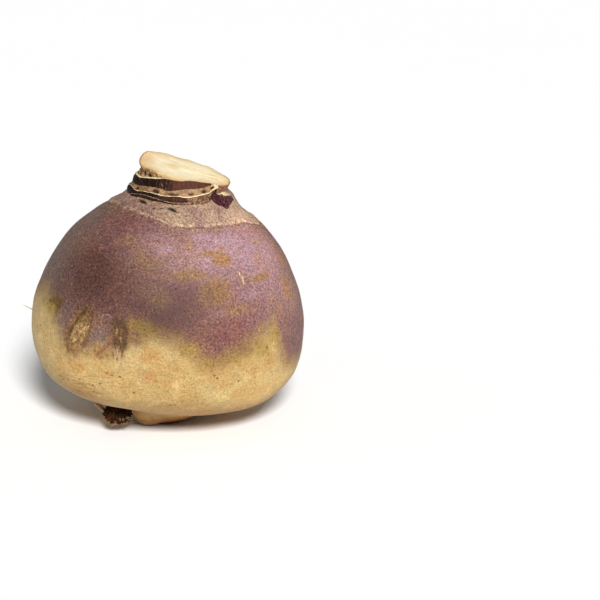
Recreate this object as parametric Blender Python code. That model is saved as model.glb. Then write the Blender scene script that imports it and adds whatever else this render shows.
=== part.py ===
"""A whole rutabaga, topped and tailed: the swollen root with its cut crown, and the trimmed
leaf bases that still wrap the neck.

Metres, +Z up. The root stands on the flat end of its trimmed taproot, which lies on Z = 0.
X = 0 and Y = 0 are the middle of the whole vegetable seen from above. The front faces -Y.
"""
import math

import bmesh
import bpy
import numpy as np
from mathutils import Matrix, Vector

# ---------------------------------------------------------------- driving dimensions (metres, degrees)
ROOT_WIDTH = 0.1246            # widest place of the swollen root
ROOT_DEPTH_RATIO = 0.975       # front to back, as a share of the width
WIDEST_HEIGHT = 0.0455         # of the widest place, above the surface it rests on
NECK_RADIUS = 0.0203           # of the cut stem above the shoulders
NECK_DRIFT = 0.0070            # the foot of the neck stands this far right of the root's middle
CROWN_DRIFT = 0.0093           # and leans on to here at the crown
CROWN_HEIGHT = 0.1175          # middle of the cut crown
CROWN_TILT = 14.6              # the cut crown falls away to the right
CROWN_NOD = 3.5                # and a little to the front
FOOT_RADIUS = 0.0096           # flat end of the trimmed taproot
FOOT_DRIFT = -0.0010           # the taproot stands this far to the left
TOUCH_GAP = 0.00038            # between a leaf base and what it grows on
SHEATH_RISE = 22.0             # leaf bases are layered outward at this angle above level
SIDE_ROOT_AT = (-0.0223, -0.0240, 0.0092)   # trimmed side root low on the left
SIDE_ROOT_RADIUS = 0.0056
SEGMENTS_ROUND = 60
SEGMENTS_UP = 44

HALF = ROOT_WIDTH / 2

# The outline of the root from the taproot up to the crown, at even steps along it:
# height, radius as a share of half the width, drift to the right, lean of the section in degrees.
OUTLINE = (
    (-0.0045, 0.000, FOOT_DRIFT, 0.0),
    (-0.0035, 0.130, FOOT_DRIFT, 0.0),
    (0.0000, FOOT_RADIUS / HALF, FOOT_DRIFT, 0.0),
    (0.0030, 0.239, -0.0004, 0.0),
    (0.0058, 0.297, 0.0023, 0.0),
    (0.0082, 0.385, 0.0064, 0.0),
    (0.0120, 0.571, 0.0110, 0.0),
    (0.0180, 0.794, 0.0050, 0.0),
    (0.0262, 0.924, 0.0023, 0.0),
    (0.0360, 0.978, 0.0014, 0.0),
    (WIDEST_HEIGHT, 0.994, 0.0009, 0.0),
    (0.0580, 0.971, 0.0006, 0.0),
    (0.0700, 0.905, 0.0007, 0.0),
    (0.0810, 0.814, 0.0013, 0.0),
    (0.0905, 0.699, 0.0014, 0.0),
    (0.0982, 0.549, 0.0019, 0.5),
    (0.1038, 0.443, 0.0047, 1.0),
    (0.1070, 0.380, 0.0066, 1.5),
    (0.1096, 0.334, NECK_DRIFT, 1.5),
    (0.1170, NECK_RADIUS / HALF, CROWN_DRIFT, 1.0),
    (0.1270, NECK_RADIUS / HALF * 0.98, CROWN_DRIFT, 0.0),
    (0.1300, 0.200, CROWN_DRIFT, 0.0),
    (0.1310, 0.000, CROWN_DRIFT, 0.0),
)

# Swellings round the root: share of the radius, how many round, where the first one points in degrees.
LOBES = ((0.010, 2, 20.0), (0.008, 3, 75.0), (0.004, 5, 10.0))
NECK_LOBES = ((0.022, 2, 165.0), (0.014, 3, 20.0))

# Corky eyes where side roots grew: direction round the root in degrees, height, half width, half
# height, turn in the surface in degrees, depth.
EYES = (
    ("eye_left", 214.6, 0.0642, 0.0046, 0.0034, 0.0, 0.0008),
    ("eye_long", 232.6, 0.0558, 0.0044, 0.0106, -26.0, 0.0011),
    ("eye_short", 250.6, 0.0542, 0.0029, 0.0070, 17.0, 0.0009),
)

# Trimmed leaf bases. A sheath wraps the neck from one direction to another (degrees, -90 is the
# front), and its cut end has an inner and an outer edge. Heights are along the neck.
# name, layer, from, to, height of the inner edge at both ends and middle, drop to the outer edge,
# thickness in the middle, height of the foot of the sheath in the middle.
SHEATHS = (
    ("leaf_base_left", 1, 150.0, 302.0, (0.1155, 0.1172, 0.1142), 0.0020, 0.0028, 0.1070),
    ("leaf_base_right", 1, 307.0, 386.0, (0.1108, 0.1094, 0.1090), 0.0026, 0.0028, 0.1038),
    ("leaf_base_back", 1, 40.0, 142.0, (0.1110, 0.1140, 0.1130), 0.0022, 0.0034, 0.1055),
    ("leaf_base_front", 2, 180.0, 316.0, (0.1122, 0.1112, 0.1126), 0.0042, 0.0034, 0.1062),
    ("leaf_base_back_low", 2, 58.0, 150.0, (0.1080, 0.1100, 0.1095), 0.0024, 0.0026, 0.1040),
    ("leaf_base_front_low", 3, 206.0, 290.0, (0.1088, 0.1082, 0.1078), 0.0012, 0.0012, 0.1056),
)

SKIN = (0.27, 0.15, 0.17, 1.0)
LEAF_SKIN = (0.07, 0.025, 0.045, 1.0)


# ---------------------------------------------------------------- shape of the root
def smooth_through(xs, ys, x):
    """Value at x of a smooth curve through the points, with no overshoot between them."""
    xs, ys, x = np.asarray(xs, float), np.asarray(ys, float), np.asarray(x, float)
    h = np.diff(xs)
    d = np.diff(ys) / h
    m = np.zeros_like(ys)
    for i in range(1, len(xs) - 1):
        if d[i - 1] * d[i] > 0:
            w1, w2 = 2 * h[i] + h[i - 1], h[i] + 2 * h[i - 1]
            m[i] = (w1 + w2) / (w1 / d[i - 1] + w2 / d[i])
    m[0], m[-1] = d[0], d[-1]
    k = np.clip(np.searchsorted(xs, x) - 1, 0, len(h) - 1)
    u = (x - xs[k]) / h[k]
    return (
        (2 * u**3 - 3 * u**2 + 1) * ys[k]
        + (u**3 - 2 * u**2 + u) * h[k] * m[k]
        + (-2 * u**3 + 3 * u**2) * ys[k + 1]
        + (u**3 - u**2) * h[k] * m[k + 1]
    )


STEPS = np.linspace(0.0, 1.0, len(OUTLINE))
LEVELS = [row[0] for row in OUTLINE]


def outline_at(share):
    """Height, radius, drift and lean at a share of the way from taproot to crown."""
    return [float(smooth_through(STEPS, [row[i] for row in OUTLINE], share)) for i in range(4)]


SHARES = np.linspace(0.0, 1.0, 1201)
HEIGHTS = smooth_through(STEPS, LEVELS, SHARES)


def share_at(height):
    """The share of the way up at which the outline has this height."""
    return float(np.interp(height, HEIGHTS, SHARES))


def root_point(share, turn):
    """A point on the root's skin. turn is in radians, 0 at +X."""
    height, radius, drift, lean = outline_at(share)
    body = max(0.0, min(1.0, (height - 0.004) / 0.012)) * max(0.0, min(1.0, (0.108 - height) / 0.012))
    neck = max(0.0, min(1.0, (height - 0.104) / 0.006))
    swell = 1.0
    for size, count, first in LOBES:
        swell += body * size * math.cos(count * (turn - math.radians(first)))
    for size, count, first in NECK_LOBES:
        swell += neck * size * math.cos(count * (turn - math.radians(first)))
    across = radius * HALF * swell
    depth = 1.0 + (ROOT_DEPTH_RATIO - 1.0) * body
    x = across * math.cos(turn)
    y = across * math.sin(turn) * depth
    return Vector((drift + x, y, height - math.tan(math.radians(lean)) * x))


def root_normal(share, turn):
    """Outward direction of the root's skin at root_point(share, turn)."""
    along = root_point(min(1, share + 0.003), turn) - root_point(max(0, share - 0.003), turn)
    around = root_point(share, turn + 0.01) - root_point(share, turn - 0.01)
    return around.cross(along).normalized()


def away_from_neck(turn):
    """The way sheaths lie one outside the other: outward and a little up."""
    rise = math.radians(SHEATH_RISE)
    return Vector((math.cos(turn) * math.cos(rise), math.sin(turn) * math.cos(rise), math.sin(rise)))


# ---------------------------------------------------------------- helpers
def clear_scene():
    for item in list(bpy.data.objects):
        bpy.data.objects.remove(item, do_unlink=True)


def collection(name):
    made = bpy.data.collections.new(name)
    bpy.context.scene.collection.children.link(made)
    return made


def material(name, colour, roughness):
    made = bpy.data.materials.new(name)
    made.use_nodes = True
    shader = made.node_tree.nodes["Principled BSDF"]
    shader.inputs["Base Color"].default_value = colour
    shader.inputs["Roughness"].default_value = roughness
    shader.inputs["Metallic"].default_value = 0.0
    made.diffuse_color = colour
    return made


def mesh_object(name, bm, group, finish=None):
    bmesh.ops.recalc_face_normals(bm, faces=bm.faces)
    mesh = bpy.data.meshes.new(name)
    bm.to_mesh(mesh)
    bm.free()
    made = bpy.data.objects.new(name, mesh)
    group.objects.link(made)
    if finish is not None:
        mesh.materials.append(finish)
    return made


def as_cutter(item):
    item.hide_render = True
    item.display_type = "WIRE"
    return item


def boolean(item, other, operation):
    step = item.modifiers.new(other.name, "BOOLEAN")
    step.object = other
    step.operation = operation
    step.solver = "EXACT"
    return step


def box_cutter(name, size, place, group):
    bm = bmesh.new()
    bmesh.ops.create_cube(bm, size=1.0)
    bmesh.ops.scale(bm, vec=Vector(size), verts=bm.verts)
    made = as_cutter(mesh_object(name, bm, group))
    made.matrix_world = place
    return made


# ---------------------------------------------------------------- the pieces
def make_root(parts, cutters):
    bm = bmesh.new()
    bmesh.ops.create_uvsphere(bm, u_segments=SEGMENTS_ROUND, v_segments=SEGMENTS_UP, radius=1.0)
    for vert in bm.verts:
        share = math.acos(max(-1.0, min(1.0, -vert.co.z))) / math.pi
        turn = math.atan2(vert.co.y, vert.co.x)
        vert.co = root_point(share, turn)
    root = mesh_object("root_body", bm, parts, material("rutabaga_skin", SKIN, 0.62))

    # the trimmed side root, low on the left
    bm = bmesh.new()
    bmesh.ops.create_uvsphere(bm, u_segments=14, v_segments=9, radius=SIDE_ROOT_RADIUS)
    for vert in bm.verts:
        bulge = 1.0 + 0.10 * math.sin(5 * math.atan2(vert.co.y, vert.co.x)) * (1 - abs(vert.co.z) / SIDE_ROOT_RADIUS)
        vert.co.x *= bulge
        vert.co.y *= bulge
        vert.co.z *= 0.92
    side = as_cutter(mesh_object("side_root_form", bm, cutters))
    side.location = SIDE_ROOT_AT
    boolean(root, side, "UNION")

    # shallow pits of the corky eyes
    for name, direction, height, wide, tall, turned, depth in EYES:
        share, turn = share_at(height), math.radians(direction)
        place, out = root_point(share, turn), root_normal(share, turn)
        up = (Vector((0, 0, 1)) - out * out.z).normalized()
        side_way = up.cross(out).normalized()
        frame = Matrix((side_way, up, out)).transposed().to_4x4()
        frame = frame @ Matrix.Rotation(math.radians(turned), 4, "Z")
        rise = 0.0035
        bm = bmesh.new()
        bmesh.ops.create_uvsphere(bm, u_segments=16, v_segments=10, radius=1.0)
        # an ellipsoid whose lowest point is depth under the skin and whose rim is the eye's outline
        spread = 1.0 / math.sqrt(max(1e-6, 1.0 - ((rise - depth) / rise) ** 2))
        bmesh.ops.scale(bm, vec=Vector((wide * spread, tall * spread, rise)), verts=bm.verts)
        pit = as_cutter(mesh_object(name, bm, cutters))
        pit.matrix_world = Matrix.Translation(place + out * (rise - depth)) @ frame
        boolean(root, pit, "DIFFERENCE")

    # the knife cut across the crown
    tilt = Matrix.Rotation(math.radians(CROWN_TILT), 4, "Y") @ Matrix.Rotation(math.radians(CROWN_NOD), 4, "X")
    place = Matrix.Translation((CROWN_DRIFT, 0, CROWN_HEIGHT)) @ tilt @ Matrix.Translation((0, 0, 0.02))
    boolean(root, box_cutter("crown_cut", (0.08, 0.08, 0.04), place, cutters), "DIFFERENCE")

    # the flat end of the taproot
    place = Matrix.Translation((0, 0, -0.02))
    boolean(root, box_cutter("foot_cut", (0.2, 0.2, 0.04), place, cutters), "DIFFERENCE")
    return root


def swell_of(sheath, degrees):
    """0 at the two tips of a sheath and 1 over most of it."""
    _, _, start, end, *_ = sheath
    for whole in (-360.0, 0.0, 360.0):
        u = (degrees + whole - start) / (end - start)
        if 0.0 <= u <= 1.0:
            return max(0.0, math.sin(math.pi * u)) ** 0.55
    return 0.0


def thickness_of(sheath, degrees, height, tip=0.0007):
    """How thick a sheath is there, growing from its foot to its cut end."""
    *_, thick, foot = sheath
    swell = swell_of(sheath, degrees)
    if swell <= 0.0 and tip == 0.0:
        return 0.0
    rise = max(0.0, min(1.0, (height - foot) / 0.0055))
    return tip + (thick - tip) * swell * (0.25 + 0.75 * rise)


def under(sheath, degrees, height):
    """How far out the inner face of a sheath lies: the gap, and the sheaths of the layers beneath."""
    out = TOUCH_GAP
    for other in SHEATHS:
        if other[1] < sheath[1]:
            out += (thickness_of(other, degrees, height) + TOUCH_GAP) * nearness(other, degrees)
    return out


def nearness(sheath, degrees):
    """1 where a sheath lies and just past its tips, falling to 0 further round."""
    _, _, start, end, *_ = sheath
    past = min(max(start - degrees - whole, degrees + whole - end, 0.0) for whole in (-360.0, 0.0, 360.0))
    return max(0.0, min(1.0, (22.0 - past) / 12.0))


def make_sheath(sheath, parts, finish):
    """A loft of unlike wedge sections round the neck, closed at both tips."""
    name, layer, start, end, edge, drop, thick, foot = sheath
    steps = max(10, int((end - start) / 6.0))
    rise = 5
    bm = bmesh.new()
    rings = []
    for i in range(steps + 1):
        u = i / steps
        degrees = start + (end - start) * u
        turn = math.radians(degrees)
        top = edge[0] * (1 - u) * (1 - 2 * u) + edge[1] * 4 * u * (1 - u) + edge[2] * u * (2 * u - 1)
        low = top - (top - foot) * (0.45 + 0.55 * math.sin(math.pi * u) ** 0.8)
        fall = 0.15 + 0.85 * math.sin(math.pi * u)
        inner, outer = [], []
        for k in range(rise + 1):
            height = low + (top - low) * k / rise
            share = share_at(height)
            place, out = root_point(share, turn), away_from_neck(turn)
            lies = under(sheath, degrees, height)
            inner.append(place + out * lies)
            level = low + (top - drop * fall - low) * k / rise
            share = share_at(level)
            place = root_point(share, turn)
            outer.append(place + out * (under(sheath, degrees, level) + thickness_of(sheath, degrees, level)))
        rings.append([bm.verts.new(p) for p in inner] + [bm.verts.new(p) for p in reversed(outer)])
    count = len(rings[0])
    for a, b in zip(rings, rings[1:]):
        for k in range(count):
            n = (k + 1) % count
            bm.faces.new((a[k], a[n], b[n], b[k]))
    half = rise + 1
    for ring in (rings[0], rings[-1]):
        for k in range(half - 1):
            bm.faces.new((ring[k], ring[k + 1], ring[count - 2 - k], ring[count - 1 - k]))
    bmesh.ops.triangulate(bm, faces=bm.faces)
    return mesh_object(name, bm, parts, finish)


def centre_on_origin(parts, cutters):
    """Moves everything so that the vegetable's box is centred over the origin and stands on Z = 0."""
    bpy.context.view_layer.update()
    reach = bpy.context.evaluated_depsgraph_get()
    corners = []
    for item in parts.objects:
        shape = item.evaluated_get(reach)
        mesh = shape.to_mesh()
        corners += [item.matrix_world @ v.co for v in mesh.vertices]
        shape.to_mesh_clear()
    low = [min(c[i] for c in corners) for i in range(3)]
    high = [max(c[i] for c in corners) for i in range(3)]
    shift = Matrix.Translation((-(low[0] + high[0]) / 2, -(low[1] + high[1]) / 2, -low[2]))
    for item in list(parts.objects) + list(cutters.objects):
        item.matrix_world = shift @ item.matrix_world


def main():
    clear_scene()
    parts, cutters = collection("rutabaga"), collection("cutters")
    root = make_root(parts, cutters)
    for number, sheath in enumerate(SHEATHS):
        finish = material("leaf_base_skin_%d" % (number + 1), LEAF_SKIN, 0.5)
        made = make_sheath(sheath, parts, finish)
    for item in parts.objects:
        item.data.shade_smooth()
        item.data.set_sharp_from_angle(angle=math.radians(35))
    centre_on_origin(parts, cutters)


main()
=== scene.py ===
"""Looks of the rutabaga: the finished surface of the root, its cut crown, leaf bases and rootlets."""
import math

import bmesh
import bpy
import numpy as np
from mathutils import Matrix, Vector


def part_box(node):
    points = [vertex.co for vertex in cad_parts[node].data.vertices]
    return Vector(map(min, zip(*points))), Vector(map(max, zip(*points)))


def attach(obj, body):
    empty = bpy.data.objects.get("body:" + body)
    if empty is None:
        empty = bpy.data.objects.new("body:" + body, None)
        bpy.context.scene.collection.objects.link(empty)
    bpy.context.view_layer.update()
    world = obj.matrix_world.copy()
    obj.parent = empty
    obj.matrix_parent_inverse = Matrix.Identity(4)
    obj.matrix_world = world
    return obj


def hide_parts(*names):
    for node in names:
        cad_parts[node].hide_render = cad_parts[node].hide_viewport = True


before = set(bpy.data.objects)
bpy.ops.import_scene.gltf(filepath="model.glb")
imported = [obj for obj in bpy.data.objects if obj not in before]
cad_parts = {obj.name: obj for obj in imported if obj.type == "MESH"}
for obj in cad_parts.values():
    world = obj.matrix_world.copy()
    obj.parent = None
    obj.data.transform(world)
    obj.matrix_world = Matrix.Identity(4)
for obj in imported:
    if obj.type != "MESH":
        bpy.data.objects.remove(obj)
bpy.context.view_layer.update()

SEED = 11
MM = 0.001

# ================================================================= the root's outline, as the solids have it
HALF = 0.0623
FOOT_DRIFT, NECK_DRIFT, CROWN_DRIFT = -0.0010, 0.0070, 0.0093
FOOT_RADIUS, NECK_RADIUS = 0.0096, 0.0203
SIDE_ROOT_AT = (-0.0214, -0.0240, 0.0097)
CROWN_HEIGHT, CROWN_TILT, CROWN_NOD = 0.1175, 14.6, 3.5
DEPTH_RATIO = 0.975
OUTLINE = np.array((
    (-0.0045, 0.000, FOOT_DRIFT, 0.0),
    (-0.0035, 0.130, FOOT_DRIFT, 0.0),
    (0.0000, FOOT_RADIUS / HALF, FOOT_DRIFT, 0.0),
    (0.0030, 0.239, -0.0004, 0.0),
    (0.0058, 0.297, 0.0023, 0.0),
    (0.0082, 0.385, 0.0064, 0.0),
    (0.0120, 0.571, 0.0110, 0.0),
    (0.0180, 0.794, 0.0050, 0.0),
    (0.0262, 0.924, 0.0023, 0.0),
    (0.0360, 0.978, 0.0014, 0.0),
    (0.0455, 0.994, 0.0009, 0.0),
    (0.0580, 0.971, 0.0006, 0.0),
    (0.0700, 0.905, 0.0007, 0.0),
    (0.0810, 0.814, 0.0013, 0.0),
    (0.0905, 0.699, 0.0014, 0.0),
    (0.0982, 0.549, 0.0019, 0.5),
    (0.1038, 0.443, 0.0047, 1.0),
    (0.1070, 0.380, 0.0066, 1.5),
    (0.1096, 0.334, NECK_DRIFT, 1.5),
    (0.1170, NECK_RADIUS / HALF, CROWN_DRIFT, 1.0),
    (0.1270, NECK_RADIUS / HALF * 0.98, CROWN_DRIFT, 0.0),
    (0.1300, 0.200, CROWN_DRIFT, 0.0),
    (0.1310, 0.000, CROWN_DRIFT, 0.0),
))
LOBES = ((0.010, 2, 20.0), (0.008, 3, 75.0), (0.004, 5, 10.0))
NECK_LOBES = ((0.022, 2, 165.0), (0.014, 3, 20.0))


# ================================================================= small tools
def through(xs, ys, x):
    """Value at x of a smooth curve through the points, with no overshoot between them."""
    xs, ys, x = np.asarray(xs, float), np.asarray(ys, float), np.asarray(x, float)
    h = np.diff(xs)
    d = np.diff(ys) / h
    m = np.zeros_like(ys)
    for i in range(1, len(xs) - 1):
        if d[i - 1] * d[i] > 0:
            w1, w2 = 2 * h[i] + h[i - 1], h[i] + 2 * h[i - 1]
            m[i] = (w1 + w2) / (w1 / d[i - 1] + w2 / d[i])
    m[0], m[-1] = d[0], d[-1]
    k = np.clip(np.searchsorted(xs, x) - 1, 0, len(h) - 1)
    u = np.clip((x - xs[k]) / h[k], 0, 1)
    return (
        (2 * u**3 - 3 * u**2 + 1) * ys[k]
        + (u**3 - 2 * u**2 + u) * h[k] * m[k]
        + (-2 * u**3 + 3 * u**2) * ys[k + 1]
        + (u**3 - u**2) * h[k] * m[k + 1]
    )


def round_through(points, degrees):
    """The same all the way round: points are (degrees, value) and the curve closes on itself."""
    pts = sorted(points)
    xs = np.array([p[0] for p in pts], float)
    ys = np.array([p[1] for p in pts], float)
    xs = np.concatenate([xs[-3:] - 360, xs, xs[:3] + 360])
    ys = np.concatenate([ys[-3:], ys, ys[:3]])
    return through(xs, ys, np.asarray(degrees, float) % 360)


def step(x, low, high):
    """0 below low and 1 above high, with a smooth change between."""
    t = np.clip((np.asarray(x, float) - low) / (high - low), 0, 1)
    return t * t * (3 - 2 * t)


def bell(x, wide):
    return np.exp(-0.5 * (np.asarray(x, float) / wide) ** 2)


def round_gap(a, b):
    """Signed degrees from b to a, the short way round."""
    return (np.asarray(a, float) - b + 180.0) % 360.0 - 180.0


_rng = np.random.RandomState(SEED)
PERM = _rng.permutation(256)
GRADS = _rng.normal(size=(256, 3))
GRADS /= np.linalg.norm(GRADS, axis=1)[:, None]


def rough(p, size, octaves=1, gain=0.5, shift=0.0):
    """Gradient noise of about -1 to 1 at points p (..., 3), with features of that size."""
    p = np.asarray(p, float) / size + shift
    total, weight = 0.0, 1.0
    for _ in range(octaves):
        cell = np.floor(p).astype(int)
        f = p - cell
        u = f * f * f * (f * (f * 6 - 15) + 10)
        value = 0.0
        for dx in (0, 1):
            for dy in (0, 1):
                for dz in (0, 1):
                    h = PERM[(PERM[(PERM[(cell[..., 0] + dx) & 255] + cell[..., 1] + dy) & 255] + cell[..., 2] + dz) & 255]
                    g = GRADS[h]
                    dot = g[..., 0] * (f[..., 0] - dx) + g[..., 1] * (f[..., 1] - dy) + g[..., 2] * (f[..., 2] - dz)
                    w = (u[..., 0] if dx else 1 - u[..., 0]) * (u[..., 1] if dy else 1 - u[..., 1]) * (u[..., 2] if dz else 1 - u[..., 2])
                    value = value + w * dot
        total = total + weight * value * 1.5
        p = p * 2.03 + 17.3
        weight *= gain
    return total


STEPS = np.linspace(0.0, 1.0, len(OUTLINE))
SHARES = np.linspace(0.0, 1.0, 2401)
HEIGHTS = through(STEPS, OUTLINE[:, 0], SHARES)


def skin(share, turn):
    """Points on the root's plain skin, as the solid has it. turn is in radians."""
    height, radius, drift, lean = (through(STEPS, OUTLINE[:, i], share) for i in range(4))
    body = np.clip((height - 0.004) / 0.012, 0, 1) * np.clip((0.108 - height) / 0.012, 0, 1)
    neck = np.clip((height - 0.104) / 0.006, 0, 1)
    swell = 1.0
    for size, count, first in LOBES:
        swell = swell + body * size * np.cos(count * (turn - math.radians(first)))
    for size, count, first in NECK_LOBES:
        swell = swell + neck * size * np.cos(count * (turn - math.radians(first)))
    across = radius * HALF * swell
    x = across * np.cos(turn)
    y = across * np.sin(turn) * (1.0 + (DEPTH_RATIO - 1.0) * body)
    return np.stack([drift + x, y, height - np.tan(np.radians(lean)) * x], -1)


def share_of(height):
    return np.interp(height, HEIGHTS, SHARES)


# the solids are centred over the origin: find how far they were moved
_low, _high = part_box("root_body")
_all = skin(np.linspace(0.1, 0.8, 141)[:, None], np.radians(np.arange(0, 360, 6.0))[None, :])
SHIFT = np.array([
    (_low[0] + _high[0]) / 2 - (_all[..., 0].min() + _all[..., 0].max()) / 2,
    (_low[1] + _high[1]) / 2 - (_all[..., 1].min() + _all[..., 1].max()) / 2,
    0.0,
])


def place(share, turn):
    return skin(share, turn) + SHIFT


def crown_plane(x, y):
    """Height of the knife cut across the crown."""
    t, n = math.radians(CROWN_TILT), math.radians(CROWN_NOD)
    return CROWN_HEIGHT - math.tan(t) * (x - CROWN_DRIFT - SHIFT[0]) + math.tan(n) / math.cos(t) * (y - SHIFT[1])


def neck_middle(z):
    """Middle of the neck at a height, in X and Y."""
    x = np.interp(z, [0.1038, 0.1070, 0.1096, 0.1170], [0.0047, 0.0066, NECK_DRIFT, CROWN_DRIFT])
    return x + SHIFT[0], SHIFT[1]


def make_mesh(name, verts, faces, marks=None, kinds=None, uvs=None, materials=()):
    """A smooth mesh object. marks are numbers kept at the vertices for the materials, kinds the material of each face,
    uvs a place in the unit square for each face corner."""
    mesh = bpy.data.meshes.new(name)
    mesh.from_pydata([tuple(map(float, v)) for v in verts], [], faces)
    mesh.update()
    for key, values in (marks or {}).items():
        layer = mesh.attributes.new(key, "FLOAT", "POINT")
        layer.data.foreach_set("value", np.asarray(values, dtype=np.float32).ravel())
    for m in materials:
        mesh.materials.append(m)
    if kinds is not None:
        mesh.polygons.foreach_set("material_index", np.asarray(kinds, dtype=np.int32))
    mesh.polygons.foreach_set("use_smooth", np.ones(len(mesh.polygons), dtype=bool))
    if uvs is not None:
        layer = mesh.uv_layers.new(name="OFBake")
        layer.data.foreach_set("uv", np.asarray(uvs, dtype=np.float32).ravel())
    made = bpy.data.objects.new(name, mesh)
    bpy.context.scene.collection.objects.link(made)
    return made


# ================================================================= material tools

def srgb(r, g, b):
    """A colour given in 0 to 255 display values, as the shader wants it."""
    out = []
    for c in (r, g, b):
        c = c / 255.0
        out.append(c / 12.92 if c <= 0.04045 else ((c + 0.055) / 1.055) ** 2.4)
    return (*out, 1.0)


GOLD_A, GOLD_B = srgb(170, 146, 97), srgb(163, 132, 81)
GOLD_DEEP, GOLD_PALE = srgb(158, 110, 56), srgb(184, 162, 112)
MAUVE_A, MAUVE_B = srgb(104, 69, 67), srgb(116, 79, 70)
MAUVE_BROWN, MAUVE_PINK = srgb(114, 79, 56), srgb(130, 87, 87)
MAUVE_LILAC, MAUVE_GREY = srgb(145, 117, 124), srgb(104, 91, 82)
OLIVE_SKIN, OCHRE_SKIN = srgb(137, 109, 48), srgb(124, 89, 56)
OCHRE_HALO, MAUVE_PLUM = srgb(134, 102, 82), srgb(112, 64, 57)
COLLAR_A, COLLAR_B = srgb(137, 105, 93), srgb(150, 124, 102)
COLLAR_PALE, PALE_SPECK = srgb(172, 145, 118), srgb(160, 134, 112)


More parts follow.
